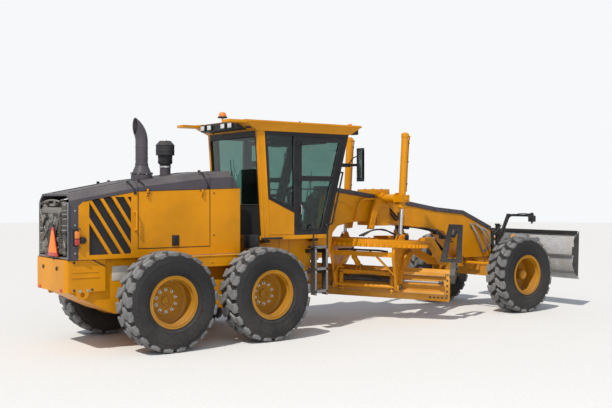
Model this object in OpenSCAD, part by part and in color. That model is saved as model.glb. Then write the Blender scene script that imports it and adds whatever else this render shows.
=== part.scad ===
// Motor grader with tandem rear wheels, articulated frame, turning circle and front blade.
// Millimetres. X points forward, Y to the machine's left, Z up from the ground.
// Lengths along X are counted from the middle of the tandem and moved to the middle
// of the whole machine by place().

/* [Layout] */
// Tandem middle to front axle
wheelbase = 6280; // [5900:10:6600]
// Spacing of the two wheels of a tandem
tandem_pitch = 1572; // [1500:2:1640]
// Width over the tyres
width_over_tyres = 2500; // [2440:10:2600]
// Rear face of the bumper
rear_end_x = -2020; // [-2200:10:-1950]
// Foremost edge of the front blade, ahead of the front axle
front_reach = 1370; // [1340:10:1620]
// Articulation pivot
pivot_x = 750; // [730:5:770]

/* [Wheels] */
// Tyre radius over the tread
tyre_r = 674; // [650:2:690]
// Tyre section width
tyre_w = 445; // [420:1:460]
// Rim barrel radius
rim_r = 318; // [300:1:325]
// Rim flange radius
flange_r = 352; // [345:1:360]
// Rim width over the flanges
rim_w = 372; // [340:2:384]
// Rim sheet thickness
rim_t = 12; // [8:1:16]
// Rear disc, out from the wheel's middle plane
rear_disc_t = -68; // [-90:2:-40]
// Front disc, in from the wheel's middle plane
front_disc_t = 100; // [80:2:120]
// Bolt circle radius of a rear wheel
bolt_circle_r = 152; // [140:1:170]
// Rear spindle radius
spindle_r = 95; // [80:1:100]
// Front spindle radius
front_spindle_r = 55; // [40:1:60]
// Radial clearance of a spindle or pin in its bore
run_gap = 0.3; // [0.1:0.05:0.5]

/* [Rear frame] */
// Gap from the rear frame to the tandem cases
frame_gap = 95; // [80:5:125]
// Frame plate thickness
plate_t = 25; // [16:1:40]
// Bottom of the belly pan
belly_z = 490; // [450:10:560]
// Bottom of the bumper
bumper_z = 810; // [780:10:850]
// Top of the rear frame
frame_top_z = 1240; // [1220:5:1260]
// Width of one tandem case
case_w = 180; // [150:5:190]
// Gap from the case to the tyre
case_gap = 30; // [20:1:60]
// Height of a tandem case
case_h = 360; // [300:10:400]

/* [Hood] */
// Hood out from the rear frame
hood_out = 70; // [50:5:80]
// Hood sheet thickness
hood_t = 28; // [16:1:36]
// Rear edge of the hood
hood_rear_x = -1960; // [-2000:5:-1940]
// Front edge of the hood
hood_front_x = 640; // [600:5:650]
// Colour line of the hood at the rear
trim_rear_z = 2010; // [1980:5:2050]
// Colour line of the hood over the doors
trim_mid_z = 2150; // [2130:5:2170]
// Colour line of the hood at the front
trim_front_z = 2200; // [2185:5:2220]
// Top of the hood at the rear
hood_rear_z = 2110; // [2080:5:2140]
// Top of the hood over the rear door edge
hood_mid_z = 2290; // [2250:5:2320]
// Top of the hood at the front
hood_front_z = 2450; // [2400:5:2480]
// Rear edge of the service doors
door_rear_x = -1000; // [-1040:5:-960]
// Front edge of the service doors
door_front_x = 130; // [80:5:180]
// Bottom of the service doors
door_low_z = 1360; // [1330:5:1400]
// Gap around a door or panel
seam = 6; // [5:0.5:10]
// Exhaust pipe radius
exhaust_r = 86; // [80:1:110]
// Top of the exhaust pipe
exhaust_top_z = 3180; // [3000:10:3300]

/* [Cab] */
// Half width of the cab
cab_half = 720; // [700:5:730]
// Thickness of a cab wall or door
cab_wall = 55; // [45:1:60]
// Cab rear face at the floor
cab_rear_x = 945; // [935:5:980]
// Backward lean of the rear posts over their height
post_lean = 100; // [60:5:120]
// Cab floor
floor_z = 1490; // [1470:5:1510]
// Under side of the roof
cab_top_z = 3050; // [3000:10:3100]
// Rear edge of the door opening
pillar_x = 1580; // [1540:5:1620]
// Front face of the cab at the floor
cab_front_x = 2150; // [2100:5:2200]
// Forward lean of the windscreen over its height
screen_lean = 420; // [360:5:460]
// Bottom of the rear side window at the post
sill_rear_z = 2040; // [2000:5:2080]
// Bottom of the rear side window at the pillar
sill_front_z = 1830; // [1800:5:1860]
// Width of a dark window frame
frame_w = 70; // [50:1:90]
// Glass thickness
glass_t = 8; // [6:1:12]
// Roof half width
roof_half = 780; // [760:5:800]
// Roof height
roof_h = 150; // [120:5:180]

/* [Neck] */
// Half width of the neck beam
neck_half = 190; // [170:5:210]
// Thickness of the dark top cover
cover_t = 75; // [50:5:100]
// Lower face of the front leg
leg_low_z = 950; // [940:5:980]
// Front face of the front leg, ahead of the front axle
leg_ahead = 170; // [120:10:200]

/* [Front axle] */
// King pin in from the wheel's middle plane
king_in = 287.5; // [283.5:2:297.5]
// King pin radius
king_r = 34; // [28:1:38]
// Length of a steering arm
steer_arm = 430; // [400:5:440]
// Height of the tie rod
tie_z = 870; // [860:1:872]
// Tie rod radius
tie_r = 26; // [20:1:28]

/* [Drawbar and circle] */
// Ball of the drawbar, behind the front axle
ball_back = 640; // [600:5:680]
// Height of the ball
ball_z = 870; // [850:5:880]
// Ball radius
ball_r = 65; // [55:1:75]
// Upward slope of the drawbar towards the rear
drawbar_slope = 3; // [2:0.25:4]
// Ball to the middle of the circle
circle_reach = 1975; // [1950:5:2000]
// Ring over the ball's plane
ring_h = 290; // [280:5:310]
// Ring radius over the teeth
ring_r = 950; // [920:5:960]
// Ring thickness
ring_t = 80; // [60:2:90]
// Width of the ring's plate
ring_w = 150; // [120:5:170]
// Turn of the blade from straight across
blade_angle = 36.6; // [30:0.1:40]

/* [Blade] */
// Length of the blade
blade_len = 3050; // [2900:10:3100]
// Blade reach to the right of the circle's middle
blade_right = 1370; // [1300:5:1400]
// Blade height with its cutting edge
blade_h = 520; // [500:5:560]
// Curve radius of the blade
blade_r = 450; // [420:5:500]
// Blade sheet thickness
blade_t = 24; // [16:1:30]
// Cutting edge under the ring's plane
edge_drop = 905; // [880:5:920]
// Cutting edge ahead of the circle's middle
edge_x = -110; // [-140:5:-80]
// Half distance between the side arms
side_arm_y = 520; // [480:5:560]
// Thickness of a side arm
side_arm_t = 50; // [40:1:60]
// Tip hinge behind the circle's middle
tip_x = -360; // [-380:5:-350]
// Tip hinge under the ring's plane
tip_z = -700; // [-720:5:-680]
// Tip pin radius
tip_pin_r = 30; // [20:1:34]

/* [Lift cylinders] */
// Half distance between the lift cylinders
lift_half = 730; // [710:5:760]
// Barrel radius
lift_barrel_r = 58; // [50:1:64]
// Rod radius
lift_rod_r = 32; // [24:1:38]
// Trunnion of the barrel, behind the ball
trunnion_back = 1940; // [1920:5:1960]
// Trunnion of the barrel, height
trunnion_z = 2040; // [2020:5:2080]
// Lower eye of the rod, behind the ball
eye_back = 1980; // [1960:5:2000]
// Lower eye of the rod, height
eye_z = 1420; // [1400:5:1430]
// Barrel over the trunnion
barrel_up = 1080; // [1000:10:1120]
// Barrel under the trunnion
barrel_down = 150; // [120:5:170]

/* [Front blade] */
// Half width of the front blade
front_half = 1300; // [1255:5:1350]
// Lower edge of the front blade
front_low_z = 530; // [500:5:560]
// Height of the front blade
front_h = 900; // [850:10:950]
// Curve radius of the front blade
front_r = 700; // [650:10:760]
// Front blade sheet thickness
front_t = 14; // [10:1:20]
// Rear pins of the lift arms, ahead of the front leg
arm_pin_ahead = 110; // [100:5:130]
// Height of the lower rear pins
arm_pin_z = 700; // [690:5:720]
// Upper pins over the lower pins
arm_rise = 350; // [330:5:370]
// Length of the lift arms
arm_len = 600; // [590:5:610]
// Rise of the lift arms at rest
arm_angle = 26; // [24:0.5:28]
// Half distance between the lift arms
arm_half = 190; // [170:5:200]
// Arm pin radius
arm_pin_r = 20; // [14:1:24]

/* [Hidden] */
$fn = 48;

yellow = "#f0a000";
dark = "#3c3a44";
black = "#202022";
steel = "#a8a8a8";

front_end_x = wheelbase + front_reach;
leg_front_x = wheelbase + leg_ahead;
arm_pin_x = leg_front_x + arm_pin_ahead;
ball_x = wheelbase - ball_back;
trunnion_x = ball_x - trunnion_back;
eye_x = ball_x - eye_back;
mid_x = (rear_end_x + front_end_x) / 2;
wheel_y = (width_over_tyres - tyre_w) / 2;
axle_z = tyre_r;
tyre_in = wheel_y - tyre_w / 2;
case_out = tyre_in - case_gap;
case_mid = case_out - case_w / 2;
frame_half = case_out - case_w - frame_gap;
hood_half = frame_half + hood_out;
king_half = wheel_y - king_in;
tandem_x = tandem_pitch / 2;
housing_r = 150;
hood_low_z = frame_top_z + run_gap;
engine_z = 830;

// Moves a piece from the tandem's middle to the middle of the machine.
module place() translate([-mid_x, 0, 0]) children();
// The piece on the right, and its mirror image on the left.
module both() { children(); mirror([0, 1, 0]) children(); }
// A plate that stands along X, from y to y + t.
module side_plate(y, t) translate([0, y + t, 0]) rotate([90, 0, 0]) linear_extrude(t) children();
// A round bar along Y, from y to y + w.
module pin_y(x, y, z, r, w) translate([x, y + w, z]) rotate([90, 0, 0]) cylinder(r = r, h = w);
// A block from its low corner to its high corner.
module block(a, b) translate(a) cube(b - a);
// A line's x at height z, between two points given as [x, z].
function x_at(p, q, z) = p[0] + (q[0] - p[0]) * (z - p[1]) / (q[1] - p[1]);

/* Wheels */

// Local Z points outwards: side is -1 on the right and 1 on the left.
module wheel_at(x, side) place() translate([x, side * wheel_y, axle_z]) rotate([-90 * side, 0, 0]) children();

module tyre() color(black) {
    half = tyre_w / 2;
    seat = rim_w / 2 - rim_t;
    rotate_extrude($fn = 96) polygon([
        [rim_r + run_gap, -seat + 1], [rim_r + run_gap, seat - 1],
        [flange_r + 4, seat - 1], [flange_r + 8, rim_w / 2 + 6], [flange_r + 60, half - 14],
        [flange_r + 150, half], [tyre_r - 70, half - 6], [tyre_r - 18, half - 20],
        [tyre_r, half - 60], [tyre_r, -half + 60], [tyre_r - 18, -half + 20],
        [tyre_r - 70, -half + 6], [flange_r + 150, -half], [flange_r + 60, -half + 14],
        [flange_r + 8, -rim_w / 2 - 6], [flange_r + 4, -seat + 1]]);
}

module rim_shell() {
    half = rim_w / 2;
    rotate_extrude($fn = 96) polygon([
        [rim_r - rim_t, -half], [flange_r, -half], [flange_r, -half + rim_t],
        [rim_r, -half + rim_t], [rim_r, half - rim_t], [flange_r, half - rim_t],
        [flange_r, half], [rim_r - rim_t, half]]);
}

module hub(r, t_in, t_out) difference() {
    translate([0, 0, t_in]) cylinder(r = r + 35, h = t_out - t_in);
    translate([0, 0, t_in - 1]) cylinder(r = r + run_gap, h = t_out - t_in - 24);
}

module rim_rear() color(yellow) {
    rim_shell();
    translate([0, 0, rear_disc_t - 20]) cylinder(r = rim_r - 2, h = 20);
    hub(spindle_r, rear_disc_t - 150, rear_disc_t);
    for (k = [0:9]) rotate(k * 36) translate([bolt_circle_r, 0, rear_disc_t - 1])
        cylinder(r = 14, h = 20, $fn = 6);
}

module rim_front() color(yellow) {
    rim_shell();
    translate([0, 0, -front_disc_t - 20]) cylinder(r = rim_r - 2, h = 20);
    hub(front_spindle_r, -front_disc_t - 76, -front_disc_t);
    translate([0, 0, -front_disc_t - 1]) cylinder(r = 88, h = 150);
}

/* Rear frame */

module rear_frame() color(yellow) place() {
    low_x = -1310;
    both() difference() {
        side_plate(frame_half - plate_t, plate_t) polygon([
            [rear_end_x + 60, bumper_z], [low_x, belly_z], [220, belly_z], [480, 760],
            [hood_front_x - 60, 760], [hood_front_x - 60, frame_top_z], [rear_end_x + 60, frame_top_z]]);
        pin_y(0, frame_half - plate_t - 1, axle_z, housing_r + run_gap, plate_t + 2);
    }
    // Deck behind the engine and the beams it stands on
    block([rear_end_x + 40, -frame_half, frame_top_z - 25], [-1461, frame_half, frame_top_z]);
    for (x = [-700, 200]) block([x, -frame_half + plate_t - 1, engine_z - 60], [x + 80, frame_half - plate_t + 1, engine_z - run_gap]);
    // Belly pan
    side_plate(-frame_half + plate_t, 2 * (frame_half - plate_t)) polygon([
        [rear_end_x + 60, bumper_z], [low_x, belly_z], [220, belly_z], [480, 760], [480, 775],
        [215, belly_z + 15], [low_x + 4, belly_z + 15], [rear_end_x + 60, bumper_z + 17]]);
    // Bumper with rounded corners
    translate([0, 0, bumper_z]) linear_extrude(frame_top_z - bumper_z) difference() {
        union() {
            block2([rear_end_x + 60, -frame_half - 40], [-1460, frame_half + 40]);
            block2([rear_end_x, -frame_half + 20], [rear_end_x + 80, frame_half - 20]);
            for (s = [-1, 1]) translate([rear_end_x + 60, s * (frame_half - 20)]) circle(r = 60);
        }
        block2([rear_end_x + 40, -frame_half], [-1400, frame_half]);
    }
    // Articulation ears
    for (z = [760, 1090]) translate([0, 0, z]) difference() {
        linear_extrude(50) union() {
            block2([hood_front_x - 100, -240], [hood_front_x - 20, 240]);
            polygon([[hood_front_x - 20, -240], [pivot_x, -110], [pivot_x, 110], [hood_front_x - 20, 240]]);
            translate([pivot_x, 0]) circle(r = 110);
        }
        translate([pivot_x, 0, -1]) cylinder(r = 45, h = 60);
    }
    block([hood_front_x - 100, -frame_half + plate_t, 760], [hood_front_x - 60, frame_half - plate_t, 1140]);
    // Tow eyes under the bumper
    both() side_plate(-frame_half - 40, 30) difference() {
        polygon([[-1900, bumper_z + 40], [-1840, 720], [-1720, 720], [-1660, bumper_z + 40]]);
        translate([-1780, 775]) circle(r = 32);
    }
    // Platforms beside the hood
    both() block([-450, -case_out, 1085], [540, -frame_half, 1240]);
}
module block2(a, b) translate(a) square(b - a);

module rear_axle() color(yellow) place() {
    // Centre housing
    pin_y(0, -case_out + case_w - 1, axle_z, housing_r, 2 * (case_out - case_w + 1));
    both() {
        side_plate(-case_out, case_w) union() {
            for (s = [-1, 1]) translate([s * tandem_x, axle_z]) circle(r = case_h / 2);
            polygon([[-tandem_x, axle_z - case_h / 2], [tandem_x, axle_z - case_h / 2],
                [tandem_x, axle_z + case_h / 2], [0, axle_z + case_h / 2 + 40], [-tandem_x, axle_z + case_h / 2]]);
        }
        for (s = [-1, 1])
            pin_y(s * tandem_x, -(wheel_y + rear_disc_t - 32), axle_z, spindle_r, wheel_y + rear_disc_t - 30 - case_out);
    }
}

/* Hood */

// Height of the colour line and of the top along the hood, as [x, z].
trim_line = [[hood_rear_x + 120, trim_rear_z], [door_rear_x, trim_mid_z], [hood_front_x, trim_front_z]];
top_line = [[hood_rear_x, hood_rear_z], [door_rear_x, hood_mid_z], [door_front_x, hood_front_z - 15],
    [hood_front_x - 140, hood_front_z]];

// A thin slice of the hood across the machine.
module hood_slice(x, low, top, half) translate([x, 0, 0]) rotate([90, 0, 90]) linear_extrude(1)
    polygon([[-half, low], [half, low], [half, top - 90], [half - 110, top], [-half + 110, top], [-half, top - 90]]);

module hood_loft(inset) {
    low = trim_rear_z - 120;
    for (k = [0:2]) hull() {
        hood_slice(top_line[k][0] - (k == 0 ? 0 : 1) , low, top_line[k][1] - inset, hood_half - inset);
        hood_slice(top_line[k + 1][0] - 1, low, top_line[k + 1][1] - inset, hood_half - inset);
    }
    hull() {
        hood_slice(top_line[3][0] - 1, low, hood_front_z - inset, hood_half - inset);
        hood_slice(hood_front_x - 1, low, trim_front_z + 60 - inset, hood_half - inset);
    }
}

function trim_z(x) = x < door_rear_x ? trim_rear_z + (x - hood_rear_x - 180) * (trim_mid_z - trim_rear_z) / (door_rear_x - hood_rear_x - 180)
    : trim_mid_z + (x - door_rear_x) * (trim_front_z - trim_mid_z) / (hood_front_x - door_rear_x);

// Hinge pins of the service doors, along X, at these places.
hood_pin = [hood_half + 14, trim_mid_z + 20];
hood_pin_x = [door_rear_x + 120, door_front_x - 150];

module hood_top() color(dark) place() {
    difference() {
        hood_loft(0);
        difference() {
            hood_loft(hood_t);
            block([hood_front_x - 30, -hood_half, 1800], [hood_front_x, hood_half, 2600]);
        }
        // Cut along the colour line
        side_plate(-hood_half - 1, 2 * hood_half + 2) polygon([
            [hood_rear_x - 1, 1800], [hood_front_x + 1, 1800], [hood_front_x + 1, trim_front_z],
            [door_rear_x, trim_mid_z], [hood_rear_x + 180, trim_rear_z], [hood_rear_x + 110, trim_rear_z - 60],
            [hood_rear_x + 110, 1800]]);
        block([hood_rear_x - 1, -hood_half - 1, 1800], [hood_rear_x + 110 + run_gap, hood_half + 1, trim_rear_z - 60]);
        block([hood_rear_x - 1, -hood_half + 60, 1880], [hood_rear_x + 40, hood_half - 60, hood_rear_z - 60]);
        // Ways for the exhaust and the air intake
        translate([exhaust_x, exhaust_y, 1900]) cylinder(r = 150 + run_gap, h = 700);
        translate([intake_x, intake_y, 1900]) cylinder(r = 80 + run_gap, h = 700);
    }
    // Rear corner strips down to the bumper
    both() block([hood_rear_x, -hood_half, hood_low_z], [hood_rear_x + 110, -hood_half + hood_t + 12, trim_rear_z - 59]);
    // Bulkhead behind the cab gap
    block([hood_front_x - 26, -hood_half + hood_t + 1, frame_top_z + 5], [hood_front_x, hood_half - hood_t - 1, trim_front_z + 10]);
    // Fixed halves of the door hinges
    both() for (x = hood_pin_x) {
        for (e = [-15, 31]) {
            block([x + e, -hood_pin[0] - 12, hood_pin[1]], [x + e + 14, -hood_half - 2, hood_pin[1] + 32]);
            block([x + e, -hood_half - 3, hood_pin[1] + 18], [x + e + 14, -hood_half + 1, hood_pin[1] + 32]);
            translate([x + e, -hood_pin[0], hood_pin[1]]) rotate([0, 90, 0]) cylinder(r = 12, h = 14);
        }
        translate([x - 10, -hood_pin[0], hood_pin[1]]) rotate([0, 90, 0]) cylinder(r = door_pin_r, h = 50);
    }
}
bend_r = 300;
mouth = exhaust_r + 12;
bend_z = exhaust_top_z - sqrt(pow(bend_r + exhaust_r, 2) - pow(bend_r - mouth, 2));
exhaust_x = -790;
exhaust_y = -250;
intake_x = -190;
intake_y = 200;
door_pin_r = 6;

module hood_sides() color(yellow) place() both() difference() {
    side_plate(-hood_half, hood_t) difference() {
        polygon([[hood_rear_x + 110 + run_gap, hood_low_z], [hood_front_x, hood_low_z], [hood_front_x, trim_front_z - run_gap],
            [door_rear_x, trim_mid_z - run_gap], [hood_rear_x + 180, trim_rear_z - run_gap],
            [hood_rear_x + 110 + run_gap, trim_rear_z - 60 - run_gap]]);
        // Service door opening
        polygon([[door_rear_x - seam, door_low_z - seam], [door_front_x + seam, door_low_z - seam],
            [door_front_x + seam, 2300], [door_rear_x - seam, 2300]]);
        // Grille opening with slanted bars left in it
        difference() {
            block2([-1700, 1300], [-1095, 2070]);
            for (k = [0:4]) translate([-1900 + k * 180, 2110]) rotate(-57) block2([0, -42], [1200, 0]);
        }
    }
}

module hood_grilles() color(black) place() both() side_plate(-hood_half + hood_t, 20) polygon([
    [-1720, 1280], [-1075, 1280], [-1075, trim_z(-1075) - 25], [-1720, trim_z(-1720) - 10]]);

module hood_door() color(yellow) difference() {
    union() {
        side_plate(-hood_half, hood_t) polygon([[door_rear_x, door_low_z], [door_front_x, door_low_z],
            [door_front_x, trim_z(door_front_x) - seam], [door_rear_x, trim_mid_z - seam]]);
        for (x = hood_pin_x) {
            translate([x, -hood_pin[0], hood_pin[1]]) rotate([0, 90, 0]) cylinder(r = 11, h = 30);
            block([x, -hood_pin[0] - 11, hood_pin[1] - 90], [x + 30, -hood_pin[0] + 9, hood_pin[1]]);
            block([x, -hood_pin[0], hood_pin[1] - 90], [x + 30, -hood_half + 1, hood_pin[1] - 40]);
        }
    }
    for (x = hood_pin_x) translate([x - 1, -hood_pin[0], hood_pin[1]]) rotate([0, 90, 0]) cylinder(r = door_pin_r + run_gap, h = 32);
}
module hood_door_r() place() hood_door();
module hood_door_l() mirror([0, 1, 0]) place() hood_door();

module engine() color("#606468") place() block([-900, -330, engine_z], [350, 330, 1950]);

module cooler() color("#55524c") place() {
    block([hood_rear_x + 30, -hood_half + 80, frame_top_z + run_gap], [hood_rear_x + 330, hood_half - 80, 1980]);
    block([hood_rear_x - 20, -330, frame_top_z + 120], [hood_rear_x + 31, 330, 1860]);
}

module stacks() color(dark) place() {
    translate([exhaust_x, exhaust_y, 0]) {
        translate([0, 0, 1950 + run_gap]) cylinder(r = 150, h = 420);
        translate([0, 0, 2369]) cylinder(r1 = 150, r2 = exhaust_r, h = 150);
        translate([0, 0, 2518]) cylinder(r = exhaust_r, h = bend_z - 2518);
        // Bend to the rear, with an upright mouth
        difference() {
            translate([-bend_r, 0, bend_z]) rotate([90, 0, 0]) rotate_extrude(angle = 72)
                translate([bend_r, 0]) difference() {
                    circle(r = exhaust_r);
                    circle(r = exhaust_r - 8);
                }
            block([-2 * bend_r, -exhaust_r - 1, bend_z - 1], [-mouth, exhaust_r + 1, exhaust_top_z + 200]);
        }
    }
    translate([intake_x, intake_y, 0]) {
        translate([0, 0, 1950 + run_gap]) cylinder(r = 80, h = 611);
        translate([0, 0, 2560]) cylinder(r1 = 92, r2 = 105, h = 130);
        translate([0, 0, 2689]) cylinder(r = 135, h = 150);
        translate([0, 0, 2838]) cylinder(r1 = 135, r2 = 80, h = 60);
    }
}

module rear_lamps() color("#b03020") place() both()
    block([hood_rear_x + 40, -hood_half - 60, 1440], [hood_rear_x + 110, -hood_half - run_gap, 1620]);

/* Neck */

neck_top = [[2560, 2170], [3240, 2080], [ball_x - 1540, 1955], [ball_x - 640, 1810], [ball_x + 60, 1745], [leg_front_x, 1440]];
// Under side of the neck, from the front leg to the saddle.
arch = [[ball_x - 440, 1450], [ball_x - 640, 1480], [ball_x - 1500, 1575], [ball_x - 2140, 1660]];

module neck() color(yellow) place() {
    side_plate(-neck_half, 2 * neck_half) polygon(concat(neck_top, [
        [leg_front_x, leg_low_z], [ball_x + 100, leg_low_z]], arch, [
        [ball_x - 2580, 1650], [2760, 1590], [2660, 1480], [2600, 1080], [1000, 1080], [1000, 1430], [2300, 1430], [2400, 2050]]));
    // Articulation knuckle between the ears
    block([pivot_x + 130, -neck_half, 830], [1100, neck_half, 1085]);
    translate([pivot_x, 0, 830]) cylinder(r = 105, h = 240);
    block([pivot_x, -100, 830], [pivot_x + 140, 100, 1070]);
    translate([pivot_x, 0, 740]) cylinder(r = 45 - run_gap, h = 420);
    // Socket of the drawbar's ball under the front leg
    difference() {
        block([ball_x - 15, -110, ball_z - 85], [ball_x + 160, 110, leg_low_z + 80]);
        translate([ball_x, 0, ball_z]) sphere(r = ball_r + run_gap);
        block([ball_x - 16, -111, leg_low_z], [ball_x + 101, 111, leg_low_z + 81]);
    }
}

module neck_cover() color(dark) place()
    side_plate(-neck_half - 10, 2 * neck_half + 20) polygon(concat(neck_top,
        [for (k = [5:-1:0]) neck_top[k] + [0, cover_t]]));

module saddle() color(yellow) place() {
    // Saddle round the neck
    difference() {
        block([trunnion_x - 140, -neck_half - 70, 1580], [trunnion_x + 140, neck_half + 70, 2200]);
        side_plate(-neck_half - 10 - run_gap, 2 * (neck_half + 10 + run_gap)) polygon(concat(
            [for (p = neck_top) p + [0, cover_t + run_gap]],
            [[leg_front_x, 1300]], [for (k = [1:3]) arch[k] - [0, run_gap]], [[ball_x - 2640, 1650]]));
    }
    both() {
        // Arm out to the lift cylinder
        pin_y(trunnion_x, -lift_half + 110, trunnion_z, 74, lift_half - neck_half - 179);
        pin_y(trunnion_x, -neck_half - 136, trunnion_z, 100, 67);
        difference() {
            block([trunnion_x - 90, -lift_half - 85, trunnion_z - 60], [trunnion_x + 90, -lift_half + 121, trunnion_z + 60]);
            block([trunnion_x - 70, -lift_half - 65, trunnion_z - 61], [trunnion_x + 70, -lift_half + 65, trunnion_z + 61]);
            pin_y(trunnion_x, -lift_half - 90, trunnion_z, 22, 180);
        }
        // Leg down towards the circle
        side_plate(-neck_half - 130, 61) polygon([for (p = saddle_leg) p + [trunnion_x, 0]]);
    }
}

// Outline of the saddle's leg, from the trunnion.
saddle_leg = [[-20, 2090], [-120, 2075], [-215, 2000], [-275, 1880], [-310, 1740], [-370, 1530], [-255, 1530],
    [-215, 1700], [-165, 1830], [-100, 1900], [60, 1900], [60, 1990]];

module lift_barrels() color(yellow) place() both() translate([trunnion_x, -lift_half, trunnion_z])
    rotate([0, lift_lean, 0]) {
        difference() {
            translate([0, 0, -barrel_down]) cylinder(r = lift_barrel_r, h = barrel_down + barrel_up);
            translate([0, 0, -barrel_down - 1]) cylinder(r = lift_rod_r + run_gap, h = barrel_down + barrel_up - 30);
        }
        for (s = [-1, 1]) translate([0, s * 40, 0]) rotate([-90 * s, 0, 0]) cylinder(r = 22 - run_gap, h = 45);
    }
lift_lean = atan2(trunnion_x - eye_x, trunnion_z - eye_z);
lift_len = norm([trunnion_x - eye_x, trunnion_z - eye_z]);

module lift_rods() color(steel) place() both() translate([trunnion_x, -lift_half, trunnion_z])
    rotate([0, lift_lean, 0]) {
        translate([0, 0, -lift_len + 38]) cylinder(r = lift_rod_r, h = lift_len + 612);
        pin_y(0, -25, -lift_len, 42, 50);
    }

/* Drawbar and circle */

module on_drawbar() place() translate([ball_x, 0, ball_z]) rotate([0, drawbar_slope, 0]) children();
module on_circle() on_drawbar() translate([-circle_reach, 0, ring_h]) rotate([0, 0, blade_angle]) children();

module drawbar() color(yellow) {
    on_drawbar() {
        // Ball with a flat face, and its neck
        rotate([0, -90, 0]) rotate_extrude() intersection() {
            union() {
                circle(r = ball_r);
                translate([0, 30]) square([40, 120]);
            }
            translate([0, 4 - ball_r]) square([ball_r + 1, 300]);
        }
        block([-330, -125, -68], [-140, 125, 88]);
        // Beams back and up to the plate
        both() translate([-240, -60, 0]) rotate(180 + beam_turn) side_plate(-50, 100) polygon([
            [0, -60], [250, -60], [980, ring_h + 50], [1300, ring_h + 50], [1300, ring_h + 130], [900, ring_h + 150],
            [200, 80], [0, 80]]);
    }
    on_drawbar() translate([-circle_reach, 0, ring_h]) {
        difference() {
            translate([0, 0, plate_low]) cylinder(r = ring_r - 40, h = 45);
            cylinder(r = ring_r - 260, h = 200);
        }
        // Shoes that hold the ring by its inner step
        for (a = [50, 130, 230, 310]) rotate(a) intersection() {
            union() {
                ring_bar(ring_r - ring_w - 55, ring_r - ring_w - 0.8, -30, plate_low + 1);
                ring_bar(ring_r - ring_w - 2, ring_r - ring_w + 19, -30, -run_gap);
            }
            block([0, -70, -100], [ring_r, 70, 100]);
        }
        // Ears for the rods of the lift cylinders
        for (s = [-1, 1]) {
            for (e = [-48, 30]) side_plate(s * lift_half + e, 18) {
                polygon([[eye_bar[0] - 80, plate_low + 40], [eye_bar[0] + 80, plate_low + 40],
                    [eye_bar[0] + 30, eye_bar[1] + 26], [eye_bar[0] - 30, eye_bar[1] + 26]]);
            }
            for (y = [-56, 34]) pin_y(eye_bar[0], s * lift_half + y, eye_bar[1], 22, 22);
        }
        // Drive motor of the circle
        translate([600, 0, plate_low + 1]) cylinder(r = 130, h = 60);
        translate([700, 0, plate_low + 40]) cylinder(r = 95, h = 120);
    }
}
beam_turn = 26;
plate_low = ring_t / 2 + run_gap;
// The lift rods' eyes, seen from the ring's middle along the drawbar.
eye_off = [eye_x - ball_x, eye_z - ball_z];
eye_bar = [eye_off[0] * cos(drawbar_slope) - eye_off[1] * sin(drawbar_slope) + circle_reach,
    eye_off[0] * sin(drawbar_slope) + eye_off[1] * cos(drawbar_slope) - ring_h];
module ring_bar(r0, r1, z0, z1) difference() {
    translate([0, 0, z0]) cylinder(r = r1, h = z1 - z0, $fn = 96);
    translate([0, 0, z0 - 1]) cylinder(r = r0, h = z1 - z0 + 2, $fn = 96);
}

module circle_ring() color(yellow) on_circle() {
    teeth = 60;
    tooth_h = 28;
    difference() {
        union() {
            translate([0, 0, -ring_t / 2]) cylinder(r = ring_r - tooth_h, h = ring_t, $fn = 96);
            for (k = [0:teeth - 1]) rotate(k * 360 / teeth)
                translate([0, 0, 6 - ring_t / 2]) linear_extrude(ring_t - 26)
                    polygon([[ring_r - tooth_h - 6, -26], [ring_r, -12], [ring_r, 12], [ring_r - tooth_h - 6, 26]]);
        }
        translate([0, 0, -ring_t]) cylinder(r = ring_r - ring_w, h = 2 * ring_t, $fn = 96);
        translate([0, 0, -ring_t]) cylinder(r = ring_r - ring_w + 20, h = ring_t, $fn = 96);
    }
    // Side arms down to the tip hinge
    for (s = [-1, 1]) difference() {
        side_plate(s * side_arm_y - side_arm_t / 2, side_arm_t) union() {
            polygon([[-740, -39], [720, -39], [690, -90], [240, -115], [40, -150], [-90, -200], [-190, -275], [-262, -370],
                [-325, -470], [-346, -560], [-345, tip_z + 30], [tip_x, tip_z - 60], [tip_x - 60, tip_z], [-600, -400], [-720, -230], [-740, -130]]);
            translate([tip_x, tip_z]) circle(r = 65);
        }
        pin_y(tip_x, s * side_arm_y - side_arm_t, tip_z, tip_pin_r + run_gap, 2 * side_arm_t);
    }
    // Cross beam and the barrel of the tip cylinder
    block([-740, -side_arm_y, -200], [-660, side_arm_y, -120]);
    along_tip() {
        block([0, -35, -35], [60, 35, 35]);
        translate([50, 0, 0]) rotate([0, 90, 0]) difference() {
            cylinder(r = tip_barrel_r, h = 300);
            translate([0, 0, 10]) cylinder(r = tip_rod_r + run_gap, h = 400);
        }
    }
}

// The tip cylinder runs from the cross beam to this eye on the blade's carrier, [x, z].
tip_eye = [-310, -370];
tip_lean = 23.6;
tip_len = 440;
tip_y = 150;
tip_barrel_r = 42;
tip_rod_r = 20;
module along_tip() translate([tip_eye[0], tip_y, tip_eye[1]]) rotate([0, tip_lean, 0]) translate([-tip_len, 0, 0]) children();

module tip_rod() color(steel) on_circle() along_tip() {
    translate([105, 0, 0]) rotate([0, 90, 0]) cylinder(r = tip_rod_r, h = tip_len - 125);
    pin_y(tip_len, -18, 0, 26, 36);
}

// Middle of the blade's curve, in X and Z of the circle.
curve_mid = [edge_x + sqrt(pow(blade_r, 2) - pow(blade_h / 2, 2)), -edge_drop + blade_h / 2];
// X of the blade's back, gap behind it, at height z.
function back_x(z, gap) = curve_mid[0] - sqrt(pow(blade_r + blade_t + gap, 2) - pow(z - curve_mid[1], 2));

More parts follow.
